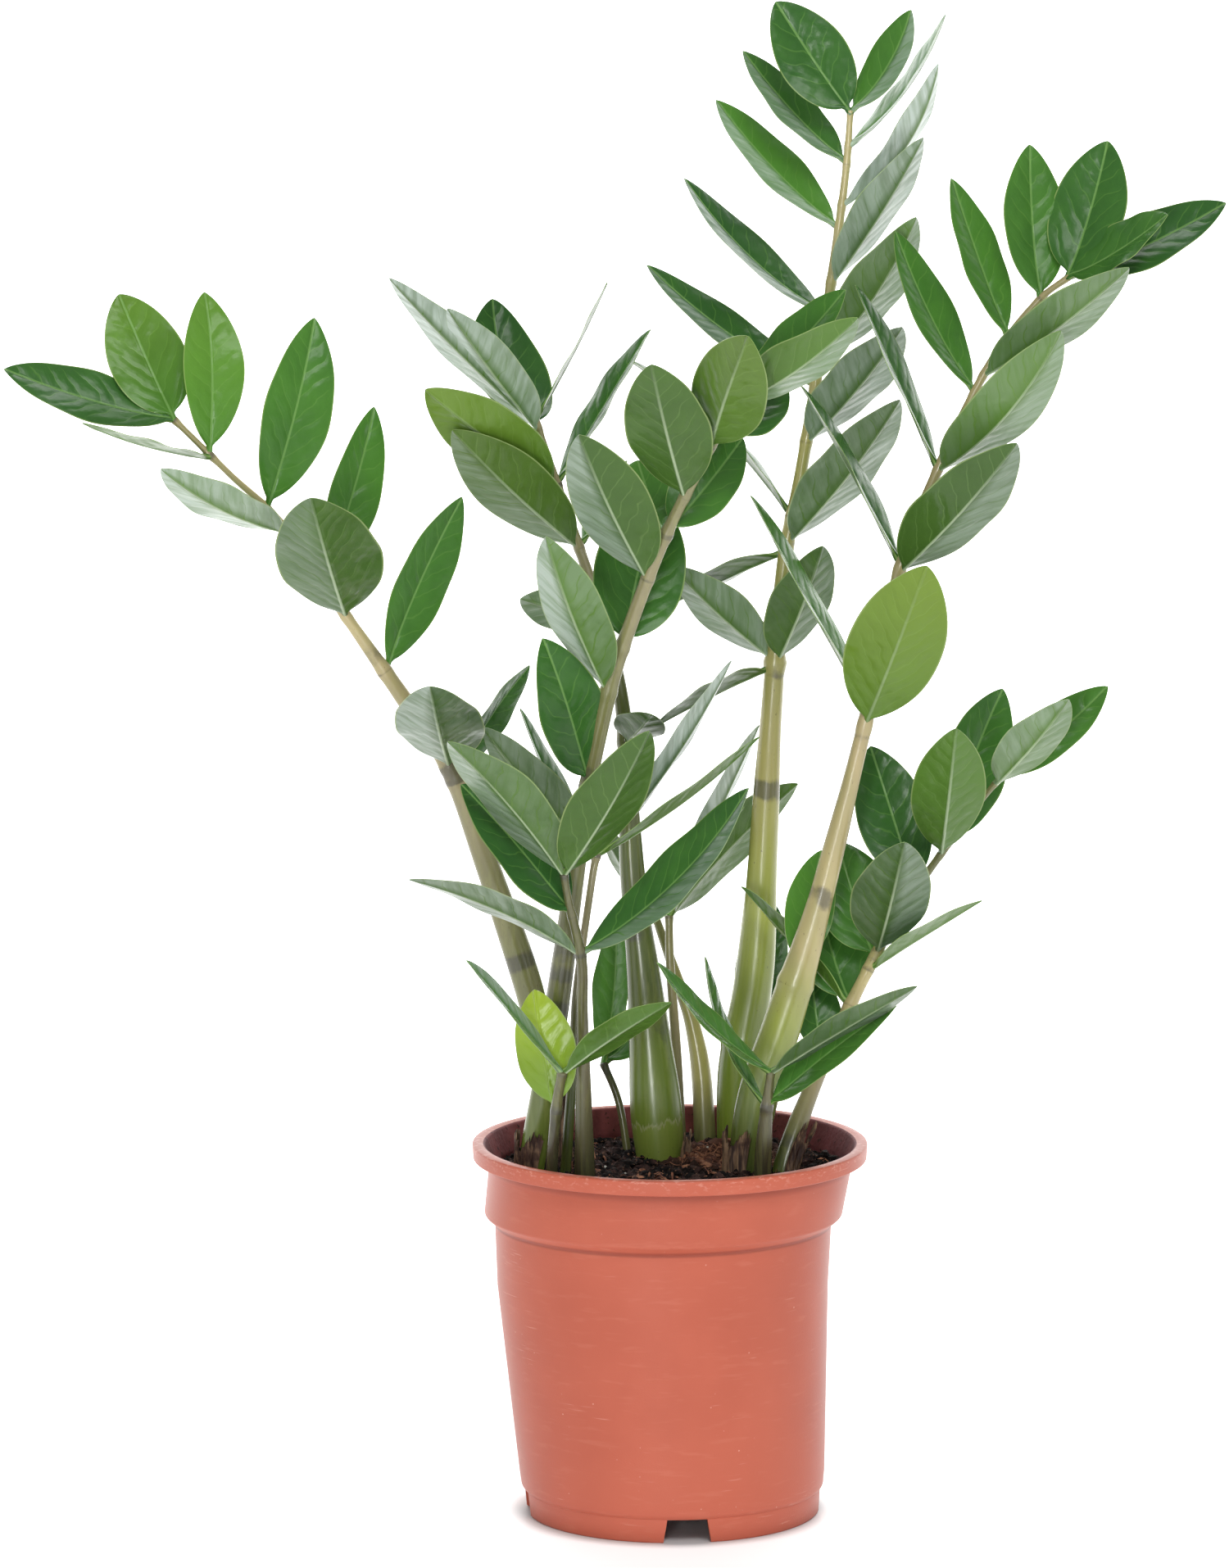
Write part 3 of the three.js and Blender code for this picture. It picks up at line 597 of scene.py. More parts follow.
FRONDS = [
    {
        "name": "frond_left",
        "skin": [
            [205, "fresh"], [240, "olive"], [285, "olive"], [320, "tan"], [360, "buff"],
            [430, "pale"], [480, "buff"],
        ],
        "bands": [[331, 5, 0.7], [250, 4, 0.8], [381, 5, 0.5]],
        "route": [
            [-47, 156, 24, 10.5], [-52.5, 201, 22, 12.3], [-60.5, 238, 18, 12.6],
            [-77, 287, 10, 10.9], [-93, 330, 2, 9], [-115, 363, -4, 7], [-142, 401.5, -10, 4.6],
            [-166.5, 436.5, -14, 3.5], [-188, 457, -18, 2.8], [-212, 480.5, -22, 2.5],
        ],
        "leaflets": [
            [480, -284.6, 502, -10, 27, 40],
            [481, -235.5, 534, 18, 33, 8],
            [466, -199, 535, 16, 27, 20, 0.1],
            [464.5, -251, 479, -30, 27, 95, -0.04, 8],
            [443, -152, 524, 18, 31, 22, 0.06],
            [433, -217.5, 459.5, -38, 30, 122, -0.07],
            [411, -126.5, 486, 24, 25, 30, 0.04],
            [396.5, -153.5, 447, -62, 45, 168],
            [373, -89, 447.5, 18, 26, 32],
            [332.5, -102.5, 366.5, -66, 38, 165],
            [327, -60, 375.5, 20, 23, 62],
        ],
    },
    {
        "name": "frond_leaning",
        "skin": [
            [160, "fresh"], [240, "dull"], [285, "olive"], [365, "olive"], [405, "tan"],
            [490, "olive"],
        ],
        "bands": [[256, 5, 0.8], [244, 4, 0.7], [230, 4, 0.8], [330, 5, 0.5]],
        "route": [
            [-60, 156, -16, 11.5], [-53.5, 196, -20, 11.2], [-46, 247, -25, 9.8],
            [-37, 313, -34, 7.7], [-27, 362, -42, 7.4], [-16, 395.5, -50, 6],
            [-1.5, 432, -60, 5.2], [15, 464, -72, 3.9], [28, 489, -84, 2.8],
        ],
        "leaflets": [
            [469, 33.5, 516, -52, 34, 165],
            [488.5, 75, 536, -6, 25, -45],
            [487, 80, 524, -30, 33, -130, -0.06],
            [474, 49, 497, 15, 31, -30],
            [447.5, -8, 504, -45, 36, 165],
            [432, 31, 472.5, 20, 27, -20],
            [430.5, -14, 463, 30, 30, 20],
            [412.5, -39, 474, -30, 36, 150],
            [383, -6, 448, 32, 40, 10],
            [364, -53, 430.5, -36, 32, 140],
            [324, -54.5, 387, -18, 31, 25, 0.05],
        ],
    },
    {
        "name": "frond_thick",
        "skin": [[200, "fresh"], [240, "shaded"], [300, "shaded"], [360, "olive"], [425, "tan"]],
        "torn_at": 181,
        "bands": [[222, 6, 0.35], [262, 4, 0.6]],
        "route": [
            [-4, 156, 24, 19], [-6.5, 191, 26, 22], [-11, 240, 28, 14.7], [-16, 285, 30, 10.9],
            [-18.5, 334, 31, 7.7], [-21, 362, 30, 6.3], [-27, 390, 28, 5.3], [-39, 426, 22, 4.5],
            [-48, 452, 15, 3.5], [-58, 482, 8, 2.5],
        ],
        "leaflets": [
            [478, -120, 541, -20, 28, 125, -0.02],
            [476, -95, 528, -28, 30, 130, -0.02],
            [478, -76, 532, 40, 36, 35, -0.14],
            [481, -27, 539, 10, 26, -90, -0.02, 4],
            [452.5, -104.5, 493.5, -30, 33, 148],
            [453, -8.5, 519, 5, 26, -70, 0],
            [426, -93, 476, -34, 34, 148],
            [426, -18.5, 463, 12, 22, -70],
            [388.5, -64, 404, -20, 22, 150, 0.05],
            [343, -8, 354.5, -30, 22, -150],
        ],
    },
    {
        "name": "frond_tall",
        "skin": [[215, "fresh"], [270, "lime"], [330, "straw"], [470, "straw"], [555, "pale"]],
        "bands": [[323, 5, 0.85], [372, 3, 0.7]],
        "route": [
            [26, 156, 50, 12.6], [29, 201, 50, 17.5], [35.5, 240, 49, 17.2], [38.5, 275, 48, 14],
            [43, 352, 45, 9.5], [48.5, 418, 42, 6.3], [55, 453, 40, 5.6], [62, 495, 36, 4.9],
            [69.5, 544, 32, 4.2], [75, 586, 30, 3.2], [77, 612.5, 28, 2.5],
        ],
        "leaflets": [
            [611.5, 45, 659, 8, 31, 12],
            [611.5, 103, 655.5, 4, 22, -45, -0.1],
            [597, 117.5, 653.5, -5, 26, -78, -0.08],
            [590, 31, 638, 20, 24, 48],
            [572, 114.5, 632.5, -10, 28, -112, -0.12],
            [562, 19.5, 617, 22, 28, 52],
            [539, 108, 601, -25, 31, -125, -0.03],
            [525, 6, 583.5, 24, 27, 62, -0.06],
            [506, 105, 567, -36, 34, -135, -0.07],
            [495, -10, 546.5, 26, 23, 50, -0.05],
            [471, 99, 520, -36, 34, -132],
            [439, -19.5, 507, 16, 30, 88, 0.05],
            [428, 98, 489, -38, 36, -132],
            [424.5, -6, 399, 8, 28, 105, 0],
            [378, 1.5, 417.5, -10, 31, 130],
            [376, 65, 426.5, -32, 30, -145],
            [375.5, -7, 349, -20, 30, 98, 0.01],
            [214, 45, 273, 30, 22, 5],
        ],
    },
    {
        "name": "frond_right",
        "skin": [[160, "shaded"], [200, "fresh"], [225, "lime"], [255, "pale"], [350, "buff"]],
        "bands": [[277, 5, 0.65], [345, 3, 0.6]],
        "route": [
            [31.5, 156, -4, 14.7], [37.5, 191, -4, 17.5], [48.5, 224, -6, 16.8],
            [64, 275, -9, 10.9], [82, 345.5, -13, 6.6], [98, 416.5, -18, 4.9],
            [114.5, 459.5, -22, 4.2], [133.5, 499, -24, 3.5], [146, 518, -24, 3.2],
            [159, 533, -24, 2.8], [170.5, 541.5, -24, 2.5],
        ],
        "leaflets": [
            [349.5, 109.5, 418, -42, 41, -170],
            [358, 34.5, 448, 10, 30, 80, -0.01],
            [415.5, 148, 470.5, -40, 38, -142],
            [418, 56, 495, 8, 28, 79, 0.01],
            [459, 167, 518.5, -36, 36, -136, -0.1],
            [459, 79, 538, 6, 27, 76, 0],
            [492, 96, 561, 16, 26, 50],
            [499.5, 196, 545.5, -34, 31, -132],
            [515.5, 120, 583.5, 16, 24, 44, -0.01],
            [532, 153.5, 598, 18, 29, 25],
            [541, 187, 599.5, 16, 33, -20, -0.06],
            [541, 212.5, 568, -18, 28, -55],
            [541, 237.5, 573, 2, 28, -38, -0.04],
            [240, 64.5, 296.5, 26, 22, 15],
        ],
    },
    {
        "name": "frond_low_right",
        "skin": [[155, "fresh"], [175, "olive"], [200, "tan"], [240, "pale"], [290, "olive"]],
        "bands": [[172, 4, 0.5]],
        "route": [
            [47.5, 154, -5, 9.8], [53, 175, -2, 9.1], [65, 205, 5, 6.6], [82, 240.5, 14, 5.2],
            [97, 268, 20, 4.2], [115, 294, 24, 3.2], [133.5, 318.5, 26, 2.4], [141.5, 328, 27, 2.1],
        ],
        "leaflets": [
            [327, 187, 366.5, 10, 24, -35],
            [325, 170, 361, -35, 27, -140],
            [300, 142, 365.5, 24, 33, 30, -0.06],
            [295, 122, 348.5, -50, 32, -172],
            [280, 85.5, 341, 14, 31, 0],
            [253, 100, 300, -48, 34, -168],
            [250, 71.5, 300, 22, 34, 10],
            [245.5, 133, 275, -20, 24, -100, 0],
            [230, 64, 272, 24, 32, 20],
            [230, 30.5, 281, 18, 22, 103, 0],
            [206, 60, 247.5, 20, 22, 20],
        ],
    },
    {
        "name": "sprout_right",
        "skin": [[170, "earthy"], [195, "dull"]],
        "bands": [[187, 3, 0.6]],
        "route": [
            [39.5, 154, -36, 7.7], [40, 170, -38, 7], [41, 184, -40, 5.3], [43, 202, -44, 3.2],
        ],
        "leaflets": [
            [201.5, -5.5, 248.5, -30, 18, 65, -0.05],
            [187, 15, 251, 10, 22, 75, -0.09],
            [201.5, 105.5, 238.5, -32, 19, -122, 0],
            [187, 96.5, 230, -20, 27, -50, 0.03],
        ],
    },
    {
        "name": "frond_low_front",
        "skin": [[155, "earthy"], [190, "dull"]],
        "bands": [[252, 3, 0.5], [286, 3, 0.5]],
        "route": [
            [-36.5, 154, -28, 9.5], [-37, 187, -32, 7], [-37.5, 226, -40, 4.9],
            [-38, 250, -46, 4.5], [-43.5, 275, -54, 3.5], [-45.5, 286.5, -58, 3.2],
        ],
        "leaflets": [
            [286, -95, 343, -34, 34, 132, 0.03],
            [286, -9, 347.5, -30, 35, -140],
            [268.5, -89.5, 324.5, -4, 35, 40, 0.03],
            [252, -111.5, 284, -30, 26, 114, 0.04],
            [252, 33.5, 323, -22, 29, -48, -0.08],
        ],
    },
    {
        "name": "sprout_left",
        "skin": [[180, "earthy"], [190, "dull"]],
        "bands": [[186, 3, 0.5]],
        "route": [[-51, 154, -42, 5.2], [-48.5, 187, -48, 4.5], [-46, 202, -53, 3.9]],
        "leaflets": [
            [201, -87, 249.5, -30, 18, 74, 0],
            [201, 0.5, 231.5, -26, 19, -130, 0.02],
            [185, -58, 237, 6, 28, 155],
        ],
    },
    {
        "name": "sprout_back",
        "skin": [[175, "dull"], [205, "earthy"]],
        "bands": [[202, 2, 0.6]],
        "route": [[-17, 156, 36, 3.9], [-21.5, 187, 39, 3.2], [-28.5, 205.5, 42, 3.2]],
        "leaflets": [
            [205, -23, 267, 10, 22, -45],
            [205, -9, 226, 10, 20, -40],
        ],
    },
    {
        "name": "frond_thin_left",
        "skin": [[190, "shaded"], [225, "dull"], [280, "tan"]],
        "bands": [],
        "route": [
            [-45, 154, -10, 4.9], [-41.5, 205, -8, 3.9], [-40, 236, -7, 3.5], [-34, 280, -5, 3.2],
            [-31.5, 295, -4, 3.2],
        ],
        "leaflets": [
            [294.5, 38, 345, 4, 24, -95],
            [294.5, 26, 377.5, 8, 26, -108],
            [294.5, -80, 349, -2, 26, 140],
            [294.5, -68, 340, 8, 20, 140],
            [294, -64, 357, 16, 24, 75],
        ],
    },
    {
        "name": "frond_thin_right",
        "skin": [[155, "shaded"], [185, "dull"], [215, "tan"], [240, "tan"], [270, "olive"]],
        "bands": [],
        "route": [[5, 156, 40, 4.9], [3, 205, 46, 4.4], [0, 247, 52, 3.9], [-0.5, 268.5, 55, 3.4]],
        "leaflets": [
            [268, 38, 350, 10, 24, -108, 0],
            [268, 31.5, 315, -4, 24, -75, 0.02],
            [268, 54.5, 325, 22, 32, -130, 0.03],
        ],
    },
    {
        "name": "frond_hidden",
        "skin": [[155, "shaded"], [185, "olive"], [200, "straw"], [275, "olive"]],
        "bands": [],
        "route": [
            [15.5, 156, 60, 9.8], [13.5, 198, 62, 9.1], [9.5, 222, 64, 6.6], [3.5, 240, 67, 5.3],
            [-8, 273, 73, 3.2],
        ],
        "leaflets": [[271, -29, 306, 10, 22, 120]],
    },
]
ROOT_LEVEL = 124.0
ROOT_STUB = 25.0
STALK_STEPS = 26
STALK_SIDES = 28
# Stalk skin in the shader's own light values, from brown and green bases to pale upper joints
SKIN_COLOURS = {
    "earthy": (0.038, 0.029, 0.018),
    "shaded": (0.079, 0.104, 0.022),
    "fresh": (0.153, 0.222, 0.024),
    "dull": (0.121, 0.110, 0.051),
    "olive": (0.197, 0.189, 0.074),
    "tan": (0.306, 0.257, 0.140),
    "lime": (0.360, 0.400, 0.084),
    "straw": (0.419, 0.371, 0.127),
    "buff": (0.410, 0.330, 0.167),
    "pale": (0.497, 0.419, 0.197),
}


def smooth_line(knots, steps):
    """A curve through the knots, which may hold any number of values each: the Catmull-Rom
    cubic, in which each knot's slope is half the step between its neighbours."""
    knots = np.array(knots, dtype=float)
    padded = np.vstack([2 * knots[0] - knots[1], knots, 2 * knots[-1] - knots[-2]])
    t = np.linspace(0, 1, steps, endpoint=False)[None, :, None]
    a, b, c, d = (padded[i:len(padded) - 3 + i, None, :] for i in range(4))
    curve = 0.5 * (2 * b + (c - a) * t + (2 * a - 5 * b + 4 * c - d) * t ** 2
                   + (3 * b - a - 3 * c + d) * t ** 3)
    return np.vstack([curve.reshape(-1, knots.shape[1]), knots[-1]])


def stalk_line(frond):
    """The stalk's centre, radius and "up" reading from its root stub to its tip."""
    route = np.array(frond["route"], dtype=float)
    across, up, depth, thickness = route.T
    knots = np.column_stack([placed(across, up, depth), thickness / 2, up])
    foot = knots[0].copy()
    foot[2] = ROOT_LEVEL
    foot[4] = route[0, 1] - ROOT_STUB
    line = smooth_line(np.vstack([foot, knots]), STALK_STEPS)
    return line[:, :3], line[:, 3], line[:, 4]


def ring_directions(centre):
    """Along each step of a line, and two directions square to it and to each other."""
    along = np.gradient(centre, axis=0)
    along /= np.linalg.norm(along, axis=1, keepdims=True)
    right = np.array([1.0, 0, 0]) - along * along[:, :1]
    right /= np.linalg.norm(right, axis=1, keepdims=True)
    return along, right, np.cross(along, right)


def bells(up, places, half_width):
    """A sum of bell curves, one at each place."""
    curves = (np.exp(-((up - place) / half_width) ** 2) for place in places)
    return sum(curves, np.zeros_like(up))


def painted(skin, up):
    """The skin's colour at each "up": even steps from each colour to the next."""
    places = [place for place, _ in skin]
    colours = zip(*(SKIN_COLOURS[colour] for _, colour in skin))
    return np.stack([np.interp(up, places, channel) for channel in colours], axis=-1)


def stalk_mesh(frond, rng):
    """Rings about the stalk's line, which swell a little at each joint and vary with slow
    random waves. With them, for each point: the skin's colour, the darkness of the joints'
    rings and of the bands, and the height above the tear."""
    centre, radius, up = stalk_line(frond)
    joints = sorted({leaflet[0] for leaflet in frond["leaflets"]})
    radius = radius * (1 + 0.06 * bells(up, joints, 2.5)) + 0.2 * bells(up, joints, 2.0)
    along, right, back = ring_directions(centre)
    angle = np.linspace(0, 2 * np.pi, STALK_SIDES, endpoint=False)
    phase = rng.uniform(0, 6, 3)
    lobes = 0.005 * np.sin(3 * angle + phase[0])
    slow = 0.02 * np.sin(up[:, None] / 9 + phase[1] + 2 * np.sin(angle))
    reach = radius[:, None] * (1 + lobes + slow)
    points = (centre[:, None] + right[:, None] * (np.cos(angle) * reach)[..., None]
              + back[:, None] * (np.sin(angle) * reach)[..., None])
    tip = centre[-1] + along[-1] * radius[-1] * 0.6
    faces = pointed_tube_faces(len(centre), STALK_SIDES)
    points = np.vstack([points.reshape(-1, 3), centre[0], tip])
    dark = 0.5 * bells(up, joints, 0.9)
    for place, half, darkness in frond["bands"]:
        dark = dark + darkness * np.exp(-np.abs((up - place) / half) ** 3)
    above_tear = up - frond.get("torn_at", 0)
    shade = np.column_stack([painted(frond["skin"], up), np.clip(dark, 0, 1), above_tear])
    shade = np.repeat(shade, STALK_SIDES, axis=0)
    return points, faces, np.vstack([shade, shade[0], shade[-1]])


def stalk_skin():
    """Smooth waxy stalk skin: the colour and the dark bands come with each stalk, broken by
    fine lengthwise streaks, blotches and small dark freckles. Below a tear it is fresh green,
    with a pale ragged edge."""
    material, add = shader_graph("stalk skin")
    tint = add("ShaderNodeAttribute", attribute_name="skin").node.outputs["Color"]
    band = add("ShaderNodeAttribute", attribute_name="band").node.outputs["Fac"]
    above = add("ShaderNodeAttribute", attribute_name="above_tear").node.outputs["Fac"]
    streak = object_noise(add, 420.0, 3.0, (1.0, 1.0, 0.05))
    blotch = object_noise(add, 110.0, 5.0, (1.0, 1.0, 0.8))
    slow = object_noise(add, 60.0, 2.0, (1.0, 1.0, 0.25))
    greener = mixed(add, 0.25, tint, (0.085, 0.120, 0.035))
    shaded = mixed(add, between(add, slow, 0.35, 0.65), tint, greener)
    shaded = laid_over(add, shaded, (0.40, 0.42, 0.13), between(add, streak, 0.42, 0.66), 0.12)
    torn = object_noise(add, 430.0, 5.0, (1.0, 1.0, 0.10), 0.7)
    edge = plus(add, above, times(add, maths(add, "SUBTRACT", torn, 0.5), 17.0))
    shaded = laid_over(add, shaded, (0.240, 0.300, 0.058), between(add, edge, 0.5, -0.5), 0.5)
    near_edge = between(add, maths(add, "ABSOLUTE", edge), 1.3, 0.1)
    shaded = laid_over(add, shaded, (0.42, 0.42, 0.24), near_edge, 0.45)
    uneven = plus(add, band, times(add, maths(add, "SUBTRACT", blotch, 0.5), 1.4))
    shaded = laid_over(add, shaded, (0.060, 0.058, 0.042), between(add, uneven, 0.30, 0.75), 0.72)
    freckle = object_noise(add, 900.0, 2.0, (1.0, 1.0, 0.5))
    shaded = laid_over(add, shaded, (0.09, 0.07, 0.04), between(add, freckle, 0.68, 0.76), 0.5)
    finish_surface(add, shaded, 0.27, streak, 0.00008, Specular_IOR_Level=0.72)
    return material


def give_attribute(piece, name, kind, values):
    """Stores one value, colour or vector for each point of the piece's mesh."""
    attribute = piece.data.attributes.new(name, kind, "POINT")
    key = {"FLOAT": "value", "FLOAT_COLOR": "color", "FLOAT_VECTOR": "vector"}[kind]
    attribute.data.foreach_set(key, np.ascontiguousarray(values, dtype=np.float32).ravel())


PLANT_SEED = 5
plant_rng = np.random.default_rng(PLANT_SEED)
stalk_finish = stalk_skin()
for frond in FRONDS:
    points, faces, shade = stalk_mesh(frond, plant_rng)
    stalk = make_piece(frond["name"] + "_stalk", points, faces, [stalk_finish],
                       [frond["name"]])
    skin = np.column_stack([shade[:, :3], np.ones(len(shade))])
    give_attribute(stalk, "skin", "FLOAT_COLOR", skin)
    give_attribute(stalk, "band", "FLOAT", shade[:, 3])
    give_attribute(stalk, "above_tear", "FLOAT", shade[:, 4])


# ---- Leaflets ---------------------------------------------------------------------------
# Thick, waxy, pointed oval leaflets on short necks: dark glossy green above with a pale
# sunken midrib, paler and duller below with a raised one. Some are younger and yellower.

# For each frond, leaflet number: how yellow-green it is, from 0 to 1
YOUNG_LEAFLETS = {
    "frond_left": {1: 0.2, 2: 0.15},
    "frond_leaning": {0: 0.15},
    "frond_thick": {4: 0.25, 6: 0.1},
    "frond_right": {0: 0.36},
    "sprout_left": {2: 1.0},
}

# For each frond, leaflet number: how light its green is, where it isn't left to chance
TONES = {
    "frond_left": {0: 0.2, 1: 0.5, 7: 0.15},
    "frond_leaning": {4: 0.25},
    "frond_thick": {2: 0.1, 9: 0.2},
    "frond_right": {12: 0.0},
    "frond_low_front": {1: 0.3, 2: 0.0, 4: 0.2},
}

# For each frond, leaflet number: painted silvery sheen on its left and on its right half as seen
PAINTED_SHEEN = {
    "frond_left": {5: (0.7, 0.5), 7: (0.15, 0.0), 9: (0.5, 0.15)},
    "frond_leaning": {2: (0.0, 0.35), 7: (0.45, 0.0), 9: (0.75, 0.15)},
    "frond_thick": {0: (0.95, 0.8), 1: (1.0, 0.6), 6: (0.25, 0.0), 8: (0.35, 0.3)},
    "frond_tall": {
        1: (0.0, 0.4), 2: (0.5, 0.6), 3: (0.2, 0.0), 4: (0.95, 1.0), 5: (0.35, 0.0),
        6: (0.5, 0.75), 7: (0.45, 0.0), 8: (0.15, 0.45), 9: (0.2, 0.0), 10: (0.4, 0.5),
        12: (0.2, 0.45), 14: (0.45, 0.35), 15: (0.05, 0.2),
    },
    "frond_right": {2: (0.0, 0.3), 4: (0.1, 0.35), 7: (0.15, 0.3)},
    "frond_low_right": {1: (0.3, 0.25), 5: (0.1, 0.3)},
    "sprout_right": {2: (0.1, 0.3)},
    "frond_low_front": {0: (0.4, 0.1), 3: (0.3, 0.3), 4: (0.0, 0.25)},
    "sprout_left": {0: (0.4, 0.2)},
    "frond_thin_left": {1: (0.9, 0.9), 2: (0.4, 0.3), 3: (0.3, 0.2)},
    "frond_thin_right": {0: (0.9, 0.9)},
}
BLADE_ROWS, BLADE_COLUMNS = 52, 19
NECK_HALF_WIDTH = 1.4
BLADE_HALF_THICKNESS = 0.28
RIB_HALF_WIDTH, RIB_ABOVE, RIB_BELOW = 0.9, 0.3, 0.6
MARGIN_WAVE = 0.045
MOST_TWIST = 7
USUAL_ARCH, USUAL_FOLD = -0.04, 15


def leaflet_frame(line, leaflet):
    """The leaflet's base, length and the directions along it, across it and out of its top.
    With no turn the top faces the viewer; the turn swings it about the leaflet's length."""
    up, tip_across, tip_up, nearer, _, turn = leaflet[:6]
    centre, radius, reading = line
    base = np.array([np.interp(up, reading, centre[:, k]) for k in range(3)])
    tip = placed(tip_across, tip_up, base[1] + nearer)
    length = np.linalg.norm(tip - base)
    along = (tip - base) / length
    to_eye = (EYE - base) / np.linalg.norm(EYE - base)
    facing = to_eye - along * (to_eye @ along)
    facing /= np.linalg.norm(facing)
    sideways = np.cross(along, facing)
    angle = math.radians(turn)
    top = facing * math.cos(angle) + sideways * math.sin(angle)
    return base, length, along, np.cross(along, top), top, np.interp(up, reading, radius)


def leaflet_mesh(line, leaflet, rng):
    """A closed thin blade. Along it, the half width is half the width times s^p (1 - s)^q,
    scaled to 1 where it is widest, and the middle line rises by 4 arch length t (1 - t). Across
    it, each half rises by the fold's slope and droops to the margin, which waves a little. Here
    s runs from the neck to the tip and t from inside the stalk to the tip; p and q are smaller
    on a full leaflet, which has rounder ends."""
    base, length, along, side, top, stalk_radius = leaflet_frame(line, leaflet)
    width = leaflet[4]
    arch, fold = leaflet[6:] + [USUAL_ARCH, USUAL_FOLD][len(leaflet[6:]):]
    neck = (stalk_radius + 2) / length
    share = 0.5 - 0.5 * np.cos(np.pi * np.linspace(0, 1, BLADE_ROWS) ** 0.94)
    t = share * (1 + neck * 0.25) - neck * 0.25
    s = np.clip((t - neck) / (1 - neck), 0, 1)
    fullness = np.clip((width / length - 0.38) / 0.2, 0, 1)
    low, high = 0.72 - 0.16 * fullness, 0.8 - 0.08 * fullness
    widest = low / (low + high)
    swell = s ** low * (1 - s) ** high / (widest ** low * (1 - widest) ** high)
    half = np.sqrt((width / 2 * swell) ** 2 + (NECK_HALF_WIDTH * np.clip(1 - 2 * s, 0.06, 1)) ** 2)
    v = np.linspace(-1, 1, BLADE_COLUMNS)
    twist = math.radians(rng.uniform(-MOST_TWIST, MOST_TWIST)) * (t - 0.3)
    sides = side * np.cos(twist)[:, None] + top * np.sin(twist)[:, None]
    tops = top * np.cos(twist)[:, None] - side * np.sin(twist)[:, None]
    rise = arch * length * 4 * np.clip(t, 0, 1) * (1 - t)
    centre = base + along * (t * length)[:, None] + top * rise[:, None]
    soft = np.sqrt(v ** 2 + 0.03 ** 2) - 0.03
    profile = math.tan(math.radians(fold)) * (1.2 * soft - 0.4 * v ** 2)
    waves, phase = rng.uniform(1.5, 3.0), rng.uniform(0, 6, 2)
    margin = np.sin((2 * np.pi * waves * t)[:, None] + np.where(v < 0, *phase))
    height = half[:, None] * (profile + MARGIN_WAVE * margin * v ** 2 * swell[:, None])
    across = half[:, None] * v
    stout = (NECK_HALF_WIDTH - 0.3) * (1 - swell) * np.clip(1 - 3 * s, 0, 1)
    thick = (BLADE_HALF_THICKNESS * (1 - 0.6 * v ** 2)
             + stout[:, None] * np.sqrt(1 - 0.95 * v ** 2))
    rib = np.exp(-(across / RIB_HALF_WIDTH) ** 2)
    rib *= ((1 - 0.8 * s) * np.clip(s * 8, 0, 1))[:, None]
    face = centre[:, None] + sides[:, None] * across[..., None]
    upper = face + tops[:, None] * (height + thick - RIB_ABOVE * rib)[..., None]
    lower = face + tops[:, None] * (height - thick - RIB_BELOW * rib)[..., None]
    points = np.concatenate([upper, lower[:, ::-1]], axis=1).reshape(-1, 3)
    count = 2 * BLADE_COLUMNS
    faces = capped_tube_faces(BLADE_ROWS, count)
    place = np.stack([
        np.broadcast_to(np.concatenate([v, v[::-1]]), (BLADE_ROWS, count)),
        np.broadcast_to(s[:, None], (BLADE_ROWS, count)),
        np.concatenate([across, across[:, ::-1]], axis=1),
    ], axis=-1).reshape(-1, 3)
    underside = np.zeros((BLADE_ROWS - 1, count), dtype=np.int32)
    underside[:, BLADE_COLUMNS:count - 1] = 1
    finish = np.append(underside.ravel(), [0, 0])
    return points, faces, place, finish, length


def leaf_places(add):
    """The leaflet's own readings: share across from the midrib to the margin, share along,
    distance from the midrib in mm, tone, youth, and distance along in mm."""
    place = add("ShaderNodeAttribute", attribute_name="place").node.outputs["Vector"]
    kind = add("ShaderNodeAttribute", attribute_name="kind").node.outputs["Vector"]
    across, along, off = add("ShaderNodeSeparateXYZ", {0: place}).node.outputs
    tone, young, length = add("ShaderNodeSeparateXYZ", {0: kind}).node.outputs
    return (maths(add, "ABSOLUTE", across), along, maths(add, "ABSOLUTE", off), tone, young,
            times(add, along, length))


VEIN_SPACING = 9.5
VEIN_BEND = 1 / 60
VEIN_WANDER = 1.7


def side_veins(add, off, run, margin):
    """Side veins leave the midrib at about 45 degrees and bend towards the tip: lines of equal
    (run - off - VEIN_BEND off squared), one every VEIN_SPACING mm, fading at the margin. Gives
    how much a point is on a vein, and the soft pillow between two veins, 0 at a vein and 1
    midway."""
    bent = times(add, times(add, off, off), VEIN_BEND)
    phase = maths(add, "SUBTRACT", maths(add, "SUBTRACT", run, off), bent)
    phase = maths(add, "DIVIDE", phase, VEIN_SPACING)
    phase = plus(add, phase, times(add, object_noise(add, 60.0, 2.0), VEIN_WANDER))
    away = maths(add, "PINGPONG", phase, 0.5)
    fade = between(add, margin, 0.97, 0.6)
    vein = times(add, between(add, away, 0.07, 0.0), fade)
    pillow = times(add, between(add, away, 0.0, 0.42), fade)
    return vein, pillow


